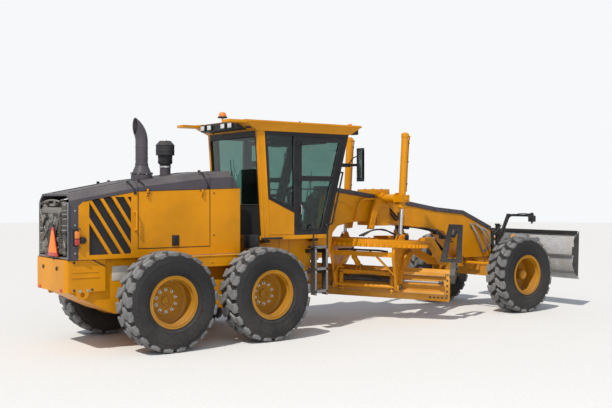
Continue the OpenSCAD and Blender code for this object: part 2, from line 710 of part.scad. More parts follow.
module moldboard() color(yellow) on_circle() {
    side_plate(-blade_right, blade_len) intersection() {
        difference() {
            translate(curve_mid) circle(r = blade_r + blade_t, $fn = 128);
            translate(curve_mid) circle(r = blade_r, $fn = 128);
        }
        block2([edge_x - 400, -edge_drop + 20], [edge_x + 10, -edge_drop + blade_h]);
    }
    // Cutting edge
    side_plate(-blade_right, blade_len) polygon([[back_x(-edge_drop + 150, -5), -edge_drop + 150],
        [back_x(-edge_drop + 150, -5) + 26, -edge_drop + 150], [edge_x + 12, -edge_drop], [edge_x - 12, -edge_drop]]);
    // Slide rails on the back
    for (r = rails) block([r[0], -blade_right + 60, r[1]], [r[2], blade_len - blade_right - 60, r[1] + rail_h]);
    // Bracket of the shift cylinder's rod
    block([back_x(shift_z, 0) - 105, -blade_right + 100, shift_z - 35], [back_x(shift_z, 0) + 8, -blade_right + 150, shift_z + 35]);
}
// Rails of the blade, as [back x, low z, front x].
rails = [[-260, -485, -166], [-290, -785, -193]];
rail_h = 50;
shift_x = -290;
shift_z = -590;
shift_rod_r = 20;
shift_barrel_r = 34;

module blade_carrier() color(yellow) on_circle() {
    difference() {
        union() {
            for (s = [-1, 1]) {
                block([-370, s * 440 - 30, -815], [-300, s * 440 + 30, -395]);
                for (r = rails) block([-371, s * 440 - 30, r[1] - 30], [r[0] + 40, s * 440 + 30, r[1] + rail_h + 30]);
            }
            pin_y(tip_x, -side_arm_y - 60, tip_z, tip_pin_r, 2 * side_arm_y + 120);
            block([-370, -470, -520], [-300, 470, -450]);
            pin_y(shift_x, -480, shift_z, shift_barrel_r, 1080);
            // Ears for the rod of the tip cylinder
            for (e = [-42, 23]) side_plate(tip_y + e, 19) polygon([[-371, -460], [-300, -460],
                [tip_eye[0] + 30, tip_eye[1] - 10], [tip_eye[0] + 20, tip_eye[1] + 28], [tip_eye[0] - 20, tip_eye[1] + 28]]);
            for (y = [-50, 26]) pin_y(tip_eye[0], tip_y + y, tip_eye[1], 15, 24);
        }
        // Grooves for the rails, and room for the blade's back
        for (r = rails) block([r[0] - run_gap, -500, r[1] - run_gap], [r[2], 500, r[1] + rail_h + run_gap]);
        side_plate(-500, 1000) translate(curve_mid) circle(r = blade_r + blade_t + 6, $fn = 128);
        pin_y(shift_x, -481, shift_z, shift_rod_r + run_gap, 1060);
    }
}

module shift_rod() color(steel) on_circle()
    pin_y(shift_x, -blade_right + 150 + run_gap, shift_z, shift_rod_r, blade_right + 60);

// Tall guard on a bracket at the blade's right end, given as [y, z] from there.
guard_out = [[179, -250], [-172, -250], [-170, 385], [54, 385]];
guard_in = [[70, -190], [-86, -190], [-96, 300], [12, 300]];
guard_foot = [[-200, -600], [-150, -600], [-60, -440], [-20, -330], [-20, -249], [-100, -249], [-130, -350], [-200, -460]];
guard_x = -90;

module blade_guard() color(black) on_circle() translate([0, -blade_right, 0]) {
    translate([guard_x, 0, 0]) rotate([90, 0, 90]) linear_extrude(60) difference() {
        polygon(guard_out);
        polygon(guard_in);
    }
    side_plate(-90, 90 - run_gap) polygon(guard_foot);
    pin_y(-60, -120, -330, 42, 40);
}

/* Front axle */

module front_axle() color(yellow) place() {
    block([wheelbase - 90, -king_half + 90, 600], [wheelbase + 90, king_half - 90, 760]);
    block([wheelbase - 140, -170, 700], [wheelbase + 140, 170, leg_low_z]);
    both() difference() {
        union() {
            for (z = [470, 845]) translate([wheelbase, -king_half, z]) cylinder(r = 58, h = 45);
            for (z = [470, 845]) block([wheelbase - 58, -king_half, z], [wheelbase + 58, -king_half + 150, z + 45]);
            block([wheelbase - 58, -king_half + 90, 470], [wheelbase + 58, -king_half + 150, 890]);
        }
        translate([wheelbase, -king_half, 460]) cylinder(r = king_r + run_gap, h = 500);
    }
}

module knuckle() color(yellow) translate([wheelbase, -king_half, 0]) {
    translate([0, 0, 465]) cylinder(r = king_r, h = 455);
    translate([0, 0, 520]) cylinder(r = 58, h = 320);
    pin_y(0, -(wheel_y - front_disc_t - 30 - king_half), axle_z, front_spindle_r, wheel_y - front_disc_t - 30 - king_half);
    // Steering arm
    difference() {
        translate([0, 0, tie_z + 25]) linear_extrude(30) union() {
            circle(r = 50);
            block2([-steer_arm, -30], [0, 30]);
            translate([-steer_arm, 0]) circle(r = 45);
        }
        translate([-steer_arm, 0, tie_z]) cylinder(r = 16 + run_gap, h = 80);
    }
}
module knuckle_r() place() knuckle();
module knuckle_l() mirror([0, 1, 0]) place() knuckle();

module tie_rod() color(yellow) place() {
    pin_y(wheelbase - steer_arm, -king_half + 30, tie_z - 12, tie_r, 2 * king_half - 60);
    for (s = [-1, 1]) translate([wheelbase - steer_arm, s * king_half, 0]) {
        translate([0, 0, tie_z - 40]) cylinder(r = 42, h = 60);
        translate([0, 0, tie_z]) cylinder(r = 16, h = 70);
    }
}

/* Cab */

function screen_x(z) = cab_front_x + screen_lean * (z - floor_z) / (cab_top_z - floor_z);
function post_x(z) = cab_rear_x - post_lean * (z - floor_z) / (cab_top_z - floor_z);
post_w = 125;
tank_front_x = 2100;
tank_low_x = 1940;

// A pair of cab side walls made from one outline.
module cab_sides(t = cab_wall) both() side_plate(-cab_half, t) children();

module cab_shell() color(yellow) place() {
    // Floor and the tanks below it
    block([cab_rear_x, -cab_half, floor_z - 60], [cab_front_x, cab_half, floor_z]);
    both() {
        block([cab_rear_x + 20, -550, 1080], [tank_front_x, -neck_half, floor_z - 60]);
        block([1740, -550, 830], [tank_low_x, -neck_half - 80, 1081]);
    }
    // Rear posts and the panels below the side windows
    cab_sides() polygon([[cab_rear_x, floor_z], [cab_rear_x + post_w, floor_z],
        [post_x(cab_top_z) + post_w, cab_top_z], [post_x(cab_top_z), cab_top_z]]);
    cab_sides() polygon([[cab_rear_x + post_w - 1, floor_z], [pillar_x - frame_w, floor_z],
        [pillar_x - frame_w, sill_front_z], [post_x(sill_rear_z) + post_w - 1, sill_rear_z]]);
}

module cab_frame() color(black) place() {
    cab_sides() difference() {
        polygon([[post_x(sill_rear_z) + post_w + run_gap, sill_rear_z + run_gap], [pillar_x - frame_w + run_gap, sill_front_z + run_gap],
            [pillar_x - frame_w + run_gap, floor_z], [cab_front_x, floor_z], [screen_x(cab_top_z), cab_top_z],
            [post_x(cab_top_z) + post_w + run_gap, cab_top_z]]);
        // Side window
        side_window();
        // Door opening
        polygon([[pillar_x, floor_z + 4], [screen_x(floor_z + 4) - frame_w, floor_z + 4],
            [screen_x(cab_top_z - 60) - frame_w, cab_top_z - 60], [pillar_x, cab_top_z - 60]]);
    }
    // Rear wall below the window, and its lintel
    rear_wall(floor_z, 1950);
    rear_wall(cab_top_z - 90, cab_top_z);
    // Windscreen sill and lintel
    screen_wall(floor_z, floor_z + 90);
    screen_wall(cab_top_z - 80, cab_top_z);
    // Fixed halves of the door hinges
    both() for (z = cab_pin_z) {
        block([pillar_x - 50, -cab_pin[1] - 8, z], [cab_pin[0], -cab_half + 1, z + 22]);
        translate([cab_pin[0], -cab_pin[1], z]) cylinder(r = 12, h = 22);
        translate([cab_pin[0], -cab_pin[1], z]) cylinder(r = door_pin_r, h = 50);
    }
}
// Hinge pins of the cab doors, upright, at these heights.
cab_pin = [pillar_x + 3, cab_half + 14];
cab_pin_z = [1640, 2300, 2860];
module side_window() polygon([[post_x(sill_rear_z + 40) + post_w + 40, sill_rear_z + 30],
    [pillar_x - frame_w, sill_front_z + 62], [pillar_x - frame_w, cab_top_z - 60],
    [post_x(cab_top_z - 60) + post_w + 40, cab_top_z - 60]]);
module rear_wall(z0, z1, t = 40) side_plate(-cab_half + cab_wall, 2 * (cab_half - cab_wall)) polygon([
    [post_x(z0), z0], [post_x(z0) + t, z0], [post_x(z1) + t, z1], [post_x(z1), z1]]);
module screen_wall(z0, z1, t = 50) side_plate(-cab_half + cab_wall, 2 * (cab_half - cab_wall)) polygon([
    [screen_x(z0) - t, z0], [screen_x(z0), z0], [screen_x(z1), z1], [screen_x(z1) - t, z1]]);

module cab_glass() color("#608078") place() {
    both() side_plate(-cab_half + 20, glass_t) offset(delta = -0.3) side_window();
    translate([15, 0, 0]) rear_wall(1950 + 0.3, cab_top_z - 90.3, glass_t);
    translate([-20, 0, 0]) screen_wall(floor_z + 90.3, cab_top_z - 80.3, glass_t);
}

module door_outline() polygon([[pillar_x + seam, floor_z + 4 + seam],
    [screen_x(floor_z + 4) - frame_w - seam - 2, floor_z + 4 + seam],
    [screen_x(cab_top_z - 60) - frame_w - seam - 4, cab_top_z - 60 - seam], [pillar_x + seam, cab_top_z - 60 - seam]]);
module door_pane(z0, z1) polygon([[pillar_x + seam + 60, z0], [screen_x(z0) - frame_w - 75, z0],
    [screen_x(z1) - frame_w - 75, z1], [pillar_x + seam + 60, z1]]);
mid_rail_z = 2350;

module door() color(black) {
    side_plate(-cab_half, cab_wall - 5) difference() {
        door_outline();
        door_pane(floor_z + 80, mid_rail_z - 35);
        door_pane(mid_rail_z + 35, cab_top_z - 130);
    }
    for (z = cab_pin_z) difference() {
        union() {
            translate([cab_pin[0], -cab_pin[1], z + 22 + run_gap]) cylinder(r = 12, h = 28);
            block([cab_pin[0], -cab_pin[1] - 12, z + 22 + run_gap], [cab_pin[0] + 60, -cab_pin[1] + 9, z + 50 + run_gap]);
            block([cab_pin[0] + 14, -cab_pin[1], z + 22 + run_gap], [cab_pin[0] + 60, -cab_half + 1, z + 50 + run_gap]);
        }
        translate([cab_pin[0], -cab_pin[1], z]) cylinder(r = door_pin_r + run_gap, h = 60);
    }
}
module door_r() place() door();
module door_l() mirror([0, 1, 0]) place() door();
module door_glass() color("#608078") side_plate(-cab_half + 20, glass_t) offset(delta = -0.3) {
    door_pane(floor_z + 80, mid_rail_z - 35);
    door_pane(mid_rail_z + 35, cab_top_z - 130);
}
module door_glass_r() place() door_glass();
module door_glass_l() mirror([0, 1, 0]) place() door_glass();

module roof() color(yellow) place() {
    difference() {
        hull() {
            block([840, -roof_half + 50, cab_top_z], [2600, roof_half - 50, cab_top_z + 10]);
            block([600, -roof_half, cab_top_z + roof_h - 30], [2780, roof_half, cab_top_z + roof_h]);
        }
        block([590, -520, cab_top_z - 1], [830, 520, cab_top_z + roof_h + 1]);
    }
    both() block([320, -roof_half, cab_top_z + roof_h - 50], [620, -roof_half + 200, cab_top_z + roof_h - 10]);
}

module seat() color(black) place() {
    block([1330, -180, floor_z], [1530, 180, floor_z + 400]);
    block([1230, -250, floor_z + 400], [1730, 250, floor_z + 520]);
    block([1170, -250, floor_z + 480], [1290, 250, floor_z + 1150]);
}

module console() color(black) place() {
    block([1960, -90, floor_z], [2080, 90, floor_z + 400]);
    translate([2020, 0, floor_z + 380]) rotate([0, -25, 0]) {
        cylinder(r = 40, h = 330);
        translate([0, 0, 300]) difference() {
            cylinder(r = 200, h = 30);
            translate([0, 0, -1]) cylinder(r = 170, h = 32);
        }
        for (a = [0, 120, 240]) rotate(a) block([0, -15, 305], [175, 15, 325]);
    }
}

module ladders() color(black) place() both() {
    for (x = [1845, 2060]) {
        block([x, -800, 560], [x + 30, -690, 1300]);
        for (z = [880, 1200]) block([x, -691, z], [x + 30, -550 - run_gap, z + 60]);
    }
    for (z = [600, 945, 1280]) block([1845, -800, z], [2090, -610, z + 25]);
}

module mirrors() color(black) place() both() {
    side_plate(-cab_half, 30) polygon([[screen_x(2540) + run_gap, 2540], [screen_x(2600) + run_gap, 2600], [2600, 2600], [2600, 2540]]);
    block([2560, -1000, 2550], [2600, -cab_half + 20, 2590]);
    block([2560, -1070, 2310], [2600, -930, 2830]);
}

module roof_lamps() color("#e08020") place() {
    translate([980, 500, cab_top_z + roof_h]) cylinder(r = 15, h = 120);
    translate([980, 500, cab_top_z + roof_h + 120]) cylinder(r = 80, h = 10);
    translate([980, 500, cab_top_z + roof_h + 130]) cylinder(r = 55, h = 90);
}

// A point of a curve from a to d drawn towards b and c.
function curve(a, b, c, d, t) = pow(1 - t, 3) * a + 3 * t * pow(1 - t, 2) * b + 3 * t * t * (1 - t) * c + pow(t, 3) * d;
// Eight points round p, across the direction t of a hose that stays near an upright plane along X.
function round_at(p, t, r) = let (u = [t[2], 0, -t[0]] / norm([t[0], t[2]]), v = cross(t, u) / norm(cross(t, u)))
    [for (k = [0:7]) p + r * (cos(k * 45) * u + sin(k * 45) * v)];
module hose(a, b, c, d, r, n = 14) {
    path = [for (k = [0:n]) curve(a, b, c, d, k / n)];
    points = [for (k = [0:n]) each round_at(path[k], k == 0 ? b - a : k == n ? d - c : path[k + 1] - path[k - 1], r)];
    polyhedron(points, concat([[for (k = [0:7]) k]], [[for (k = [7:-1:0]) n * 8 + k]],
        [for (i = [0:n - 1]) for (k = [0:7]) [i * 8 + k, (i + 1) * 8 + k, (i + 1) * 8 + (k + 1) % 8, i * 8 + (k + 1) % 8]]));
}
// Hoses, as [start, towards, towards, end].
nose_loops = [[[5900, -201.5, 1560], [5960, -330, 1400], [6080, -330, 1080], [6200, -201.5, 1050]],
    [[6010, -201.5, 1560], [6180, -340, 1480], [6200, -340, 1120], [6280, -201.5, 1060]],
    [[6120, -201.5, 1500], [6300, -340, 1480], [6340, -330, 1180], [6360, -201.5, 1090]]];
side_loops = [[[3840.3, -220, 1880], [3930, -220, 1880], [4160, -225, 1500], [4190, -206.4, 1800]],
    [[3840.3, -243, 1800], [3920, -243, 1800], [4040, -245, 1500], [4100, -206.4, 1800]]];

module hoses() color(black) place() {
    translate([wheelbase - 6280, 0, 0]) for (h = nose_loops) hose(h[0], h[1], h[2], h[3], 14);
    translate([trunnion_x - 3700, 0, 0]) for (h = side_loops) hose(h[0], h[1], h[2], h[3], 16);
}

/* Front blade */

front_pin_x = arm_pin_x + arm_len * cos(arm_angle);
front_pin_z = arm_pin_z + arm_len * sin(arm_angle);
front_cx = front_end_x - 30 + sqrt(pow(front_r, 2) - pow(front_h / 2, 2));
front_cz = front_low_z + front_h / 2;

module front_mount() color(black) place() {
    block([leg_front_x + run_gap, -235, 640], [leg_front_x + 40, 235, 1430]);
    for (s = [-1, 1]) for (e = [-45, 25]) side_plate(s * arm_half + e, 20) difference() {
        polygon([[leg_front_x + 39, 640], [arm_pin_x, arm_pin_z - 45], [arm_pin_x + 45, arm_pin_z],
            [arm_pin_x + 45, arm_pin_z + arm_rise], [arm_pin_x, arm_pin_z + arm_rise + 45], [leg_front_x + 39, 1200]]);
        for (z = [arm_pin_z, arm_pin_z + arm_rise]) translate([arm_pin_x, z]) circle(r = arm_pin_r + run_gap);
    }
    // Upright lift cylinder on its arm
    difference() {
        union() {
            block([leg_front_x + 30, -40, 1330], [cyl_x, 40, 1420]);
            translate([cyl_x, 0, 1090]) cylinder(r = 42, h = 455);
        }
        translate([cyl_x, 0, 1089]) cylinder(r = cyl_rod_r + run_gap, h = 440);
    }
    // Bent lamp bar
    side_plate(-22, 44) polygon([[cyl_x + 30, 1250], [cyl_x + 80, 1250], [7190, 1690], [7190, 1740], [7140, 1740]]);
    block([7130, -600, 1690], [7175, 22, 1735]);
    block([7130, -615, 1600], [7175, -560, 1760]);
}
cyl_x = arm_pin_x + 322 * cos(arm_angle);
cyl_rod_r = 20;

module arm_bar(half, w) for (s = [-1, 1]) {
    side_plate(s * half - 20, 40) union() {
        circle(r = 40);
        translate([arm_len, 0]) circle(r = 40);
        block2([0, -w / 2], [arm_len, w / 2]);
    }
    pin_y(0, s * half - 50, 0, arm_pin_r, 100);
    pin_y(arm_len, s * half - 50, 0, arm_pin_r, 100);
}

module front_arms() color(black) place() translate([arm_pin_x, 0, arm_pin_z]) rotate([0, -arm_angle, 0]) {
    arm_bar(arm_half, 70);
    for (y = [-arm_half, 31]) pin_y(322, y, 0, 35, arm_half - 31);
}
module front_link() color(black) place() translate([arm_pin_x, 0, arm_pin_z + arm_rise])
    rotate([0, -arm_angle, 0]) arm_bar(arm_half, 50);

module front_blade() color("#8c8c88") place() {
    side_plate(-front_half, 2 * front_half) intersection() {
        difference() {
            translate([front_cx, front_cz]) circle(r = front_r + front_t, $fn = 160);
            translate([front_cx, front_cz]) circle(r = front_r, $fn = 160);
        }
        block2([front_end_x - 500, front_low_z + 30], [front_end_x, front_low_z + front_h]);
    }
    // Cutting edge
    side_plate(-front_half, 2 * front_half) polygon([[front_end_x - 122, front_low_z + 120], [front_end_x - 106, front_low_z + 120],
        [front_end_x, front_low_z], [front_end_x - 20, front_low_z]]);
    // Ears for the arms and links
    for (s = [-1, 1]) for (e = [-45, 25]) side_plate(s * arm_half + e, 20) difference() {
        polygon([[front_pin_x - 40, front_pin_z - 40], [front_pin_x + 45, front_pin_z - 50], [7560, front_low_z + 200],
            [7560, 1350], [front_pin_x + 45, front_pin_z + arm_rise + 45],
            [front_pin_x - 40, front_pin_z + arm_rise + 45]]);
        translate([front_cx, front_cz]) circle(r = front_r + 5, $fn = 160);
        for (z = [front_pin_z, front_pin_z + arm_rise]) translate([front_pin_x, z]) circle(r = arm_pin_r + run_gap);
    }
}

module front_lift_rod() color(steel) place() translate([cyl_x, 0, 0]) {
    translate([0, 0, 870]) cylinder(r = cyl_rod_r, h = 630);
    pin_y(0, -25, tube_z, 60, 50);
}
tube_z = arm_pin_z + 322 * sin(arm_angle);

rear_frame();
rear_axle();
hood_top();
hood_sides();
hood_grilles();
engine();
cooler();
stacks();
rear_lamps();
hood_door_r();
hood_door_l();
neck();
neck_cover();
cab_shell();
cab_frame();
cab_glass();
roof();
seat();
console();
ladders();
mirrors();
roof_lamps();
saddle();
front_axle();
hoses();
front_mount();
door_r();
door_glass_r();
door_l();
door_glass_l();
knuckle_r();
knuckle_l();
tie_rod();
wheel_at(-tandem_x, -1) tyre();  // tyre_rear_r
wheel_at(-tandem_x, -1) rim_rear();  // rim_rear_r
wheel_at(tandem_x, -1) tyre();  // tyre_mid_r
wheel_at(tandem_x, -1) rim_rear();  // rim_mid_r
wheel_at(wheelbase, -1) tyre();  // tyre_front_r
wheel_at(wheelbase, -1) rim_front();  // rim_front_r
wheel_at(-tandem_x, 1) tyre();  // tyre_rear_l
wheel_at(-tandem_x, 1) rim_rear();  // rim_rear_l
wheel_at(tandem_x, 1) tyre();  // tyre_mid_l
wheel_at(tandem_x, 1) rim_rear();  // rim_mid_l
wheel_at(wheelbase, 1) tyre();  // tyre_front_l
wheel_at(wheelbase, 1) rim_front();  // rim_front_l
drawbar();
circle_ring();  // circle
tip_rod();
blade_carrier();
moldboard();
shift_rod();
blade_guard();
lift_barrels();
lift_rods();
front_arms();
front_link();
front_blade();
front_lift_rod();
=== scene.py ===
"""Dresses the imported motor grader: tyres, trim, materials, floor and camera."""

import math

import bmesh
import bpy
from mathutils import Matrix, Vector


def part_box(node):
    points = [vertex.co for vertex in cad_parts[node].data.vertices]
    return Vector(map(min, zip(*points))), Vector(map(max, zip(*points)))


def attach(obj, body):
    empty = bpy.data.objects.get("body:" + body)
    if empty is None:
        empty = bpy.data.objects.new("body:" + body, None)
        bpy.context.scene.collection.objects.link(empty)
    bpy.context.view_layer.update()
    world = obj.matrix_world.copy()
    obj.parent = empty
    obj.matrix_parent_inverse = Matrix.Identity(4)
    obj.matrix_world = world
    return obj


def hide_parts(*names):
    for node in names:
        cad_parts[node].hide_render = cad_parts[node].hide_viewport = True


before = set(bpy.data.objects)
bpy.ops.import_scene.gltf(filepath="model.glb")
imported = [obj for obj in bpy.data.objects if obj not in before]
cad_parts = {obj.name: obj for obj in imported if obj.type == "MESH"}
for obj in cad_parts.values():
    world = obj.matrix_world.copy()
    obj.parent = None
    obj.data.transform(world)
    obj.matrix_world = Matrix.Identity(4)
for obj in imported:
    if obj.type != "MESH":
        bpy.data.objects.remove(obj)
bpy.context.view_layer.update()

bl_info = {
    "name": "Motor grader dressing",
    "version": (1, 0, 0),
    "blender": (4, 5, 0),
    "location": "View3D > Sidebar > Grader",
    "description": "Adds tyres, trim, materials and a stage to the packed motor grader",
    "category": "Object",
}

AXLE_LOW, AXLE_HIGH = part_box("rear_axle")
TANDEM = (AXLE_LOW.x + AXLE_HIGH.x) / 2
SIDES = (("r", "right", -1), ("l", "left", 1))
X, Y, Z = Vector((1, 0, 0)), Vector((0, 1, 0)), Vector((0, 0, 1))


# Places are given in millimetres from the middle of the tandem, as the CAD gives them.

def at(x, y, z):
    return Vector((TANDEM + x / 1000, y / 1000, z / 1000))


def move(x, y, z):
    return Matrix.Translation(at(x, y, z))


def frame_of(origin, z_axis, x_hint=X):
    """A matrix at origin, whose Z runs along z_axis."""
    z = z_axis.normalized()
    x = x_hint - z * x_hint.dot(z)
    if x.length < 1e-4:
        x = Y - z * Y.dot(z)
    x.normalize()
    return Matrix.Translation(origin) @ Matrix((x, z.cross(x), z)).transposed().to_4x4()


# Shapes. Each function returns a bmesh of one closed shape.

def soften(bm, edge, turn=math.radians(25), steps=2):
    """Bevels the edges that turn by more than the given angle."""
    if edge > 0:
        sharp = [e for e in bm.edges if len(e.link_faces) == 2 and e.calc_face_angle() > turn]
        bmesh.ops.bevel(bm, geom=sharp, offset=edge / 1000, offset_type="OFFSET", segments=steps,
                        profile=0.5, affect="EDGES", material=-1, clamp_overlap=True)
    return bm


def block(a, b, edge=4):
    """A block between two corners, in any order."""
    lo, hi = (at(*map(pick, a, b)) for pick in (min, max))
    bm = bmesh.new()
    bmesh.ops.create_cube(bm, size=1.0)
    bmesh.ops.scale(bm, vec=hi - lo, verts=bm.verts)
    bmesh.ops.translate(bm, vec=(lo + hi) / 2, verts=bm.verts)
    return soften(bm, edge)


def slab(size, place, edge=4):
    """A block of this size in mm, centred on a matrix."""
    bm = bmesh.new()
    bmesh.ops.create_cube(bm, size=1.0)
    bmesh.ops.scale(bm, vec=Vector(size) / 1000, verts=bm.verts)
    soften(bm, edge)
    bmesh.ops.transform(bm, matrix=place, verts=bm.verts)
    return bm


def plate(outline, along, low, high, edge=3):
    """A plate cut to an outline, across the axis named by along, between two levels."""
    low, high = sorted((low, high))
    bm = bmesh.new()
    order = {"x": lambda p, h: (h, *p), "y": lambda p, h: (p[0], h, p[1]), "z": lambda p, h: (*p, h)}[along]
    face = bmesh.ops.contextual_create(bm, geom=[bm.verts.new(at(*order(p, low))) for p in outline])["faces"]
    out = bmesh.ops.extrude_face_region(bm, geom=face)["geom"]
    push = at(*order((0, 0), high)) - at(*order((0, 0), low))
    bmesh.ops.translate(bm, vec=push, verts=[v for v in out if isinstance(v, bmesh.types.BMVert)])
    bmesh.ops.recalc_face_normals(bm, faces=bm.faces)
    return soften(bm, edge)


def rod(p, q, r, edge=2, segments=20, r_end=None):
    p, q = at(*p), at(*q)
    bm = bmesh.new()
    bmesh.ops.create_cone(bm, cap_ends=True, segments=segments, radius1=r / 1000,
                          radius2=(r if r_end is None else r_end) / 1000, depth=(q - p).length)
    soften(bm, edge, math.radians(50))
    bmesh.ops.transform(bm, matrix=frame_of((p + q) / 2, q - p), verts=bm.verts)
    return bm


def lathe(profile, place, segments=48):
    """Turns a closed profile of [radius, height] in mm round the Z of a matrix."""
    bm = bmesh.new()
    ring = [bm.verts.new((r / 1000, 0, z / 1000)) for r, z in profile]
    edges = [bm.edges.new((ring[k], ring[(k + 1) % len(ring)])) for k in range(len(ring))]
    bmesh.ops.spin(bm, geom=ring + edges, cent=(0, 0, 0), axis=(0, 0, 1), angle=2 * math.pi, steps=segments,
                   use_merge=True)
    bmesh.ops.remove_doubles(bm, verts=bm.verts, dist=1e-5)
    bmesh.ops.recalc_face_normals(bm, faces=bm.faces)
    bmesh.ops.transform(bm, matrix=place, verts=bm.verts)
    return bm


def collar(inner, outer, low, high):
    """Profile of a softened ring round a barrel."""
    return [(inner, low), (outer - 3, low), (outer, low + 4), (outer, high - 4), (outer - 3, high),
            (inner, high)]


def smooth_path(points, steps=6):
    """Points on one smooth curve through the given ones."""
    points = [Vector(p) for p in points]
    ends = [2 * points[0] - points[1]] + points + [2 * points[-1] - points[-2]]
    path = []
    for k in range(1, len(ends) - 2):
        a, b, c, d = ends[k - 1:k + 3]
        for s in range(steps):
            t = s / steps
            path.append(0.5 * (2 * b + (c - a) * t + (2 * a - 5 * b + 4 * c - d) * t ** 2
                               + (3 * b - a - 3 * c + d) * t ** 3))
    return path + [points[-1]]


def pipe(points, r, segments=8, smooth=True, steps=6):
    """A round bar or hose of radius r along points."""
    path = [at(*p) for p in (smooth_path(points, steps) if smooth else points)]
    bm = bmesh.new()
    loop = bmesh.ops.create_circle(bm, cap_ends=False, segments=segments, radius=r / 1000)["verts"]
    last, hint = Matrix.Identity(4), X if abs((path[1] - path[0]).normalized().dot(X)) < 0.8 else Y
    first = None
    for k, p in enumerate(path):
        way = path[min(k + 1, len(path) - 1)] - path[max(k - 1, 0)]
        place = frame_of(p, way, hint)
        hint = place.col[0].xyz
        if k:
            rim = [e for e in bm.edges if all(v in loop for v in e.verts)]
            grown = bmesh.ops.extrude_edge_only(bm, edges=rim)["geom"]
            loop = [v for v in grown if isinstance(v, bmesh.types.BMVert)]
        bmesh.ops.transform(bm, matrix=place @ last.inverted(), verts=loop)
        last = place
        first = first or list(loop)
    bmesh.ops.contextual_create(bm, geom=first)
    bmesh.ops.contextual_create(bm, geom=loop)
    bmesh.ops.recalc_face_normals(bm, faces=bm.faces)
    return bm


def bar(points, r, segments=8):
    """A round bar that bends sharply at its points."""
    return pipe(points, r, segments, smooth=False)


def bolt(p, way, r=12, tall=9, place=None):
    """A hexagon head on its washer, standing on p, or at a matrix."""
    bm = bmesh.new()
    bmesh.ops.create_cone(bm, cap_ends=True, segments=12, radius1=r * 1.45e-3, radius2=r * 1.45e-3,
                          depth=0.003, matrix=Matrix.Translation((0, 0, 0.001)))
    bmesh.ops.create_cone(bm, cap_ends=True, segments=6, radius1=r / 1000, radius2=r * 0.9e-3,
                          depth=tall / 1000, matrix=Matrix.Translation((0, 0, tall / 2000 + 0.002)))
    bmesh.ops.transform(bm, matrix=place or frame_of(at(*p), Vector(way)), verts=bm.verts)
    return bm


def link_new(name, data):
    """An object of this data, in the scene."""
    made = bpy.data.objects.new(name, data)
    bpy.context.collection.objects.link(made)
    return made


class Piece:
    """Shapes gathered into one named object."""

    def __init__(self, *finishes):
        self.bm = bmesh.new()
        self.finishes = finishes

    def add(self, shape, finish=None):
        index = self.finishes.index(finish or self.finishes[0])
        for f in shape.faces:
            f.material_index = index
        mesh = bpy.data.meshes.new("shape")
        shape.to_mesh(mesh)
        shape.free()
        self.bm.from_mesh(mesh)
        bpy.data.meshes.remove(mesh)
        return self

    def mirror(self):
        """Repeats everything on the other side of the machine."""
        copy = bmesh.ops.duplicate(self.bm, geom=self.bm.verts[:] + self.bm.edges[:]
                                   + self.bm.faces[:])["geom"]
        bmesh.ops.scale(self.bm, vec=(1, -1, 1), verts=[v for v in copy if isinstance(v, bmesh.types.BMVert)])
        bmesh.ops.reverse_faces(self.bm, faces=[f for f in copy if isinstance(f, bmesh.types.BMFace)])
        return self

    def turn(self, matrix):
        bmesh.ops.transform(self.bm, matrix=matrix, verts=self.bm.verts)
        return self

    def done(self, name, body, slot, *replaced, crease=32):
        mesh = bpy.data.meshes.new(name)
        self.bm.to_mesh(mesh)
        self.bm.free()
        for f in self.finishes:
            mesh.materials.append(finish_named(f))
        mesh.shade_smooth()
        mesh.set_sharp_from_angle(angle=math.radians(crease))
        piece = link_new(name, mesh)
        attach(piece, body)
        if replaced:
            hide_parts(*replaced)
        return piece


# Finishes

GREY = (0.5, 0.5, 0.5, 1.0)
DUST_GREY = (0.30, 0.27, 0.23, 1)
# The tread's pale dust colour is partly road dust and partly painted sunlight on the tread
DUSTS = {"tread_rubber": (0.36, 0.36, 0.36, 1), "dull_yellow": (0.56, 0.38, 0.17, 1)}
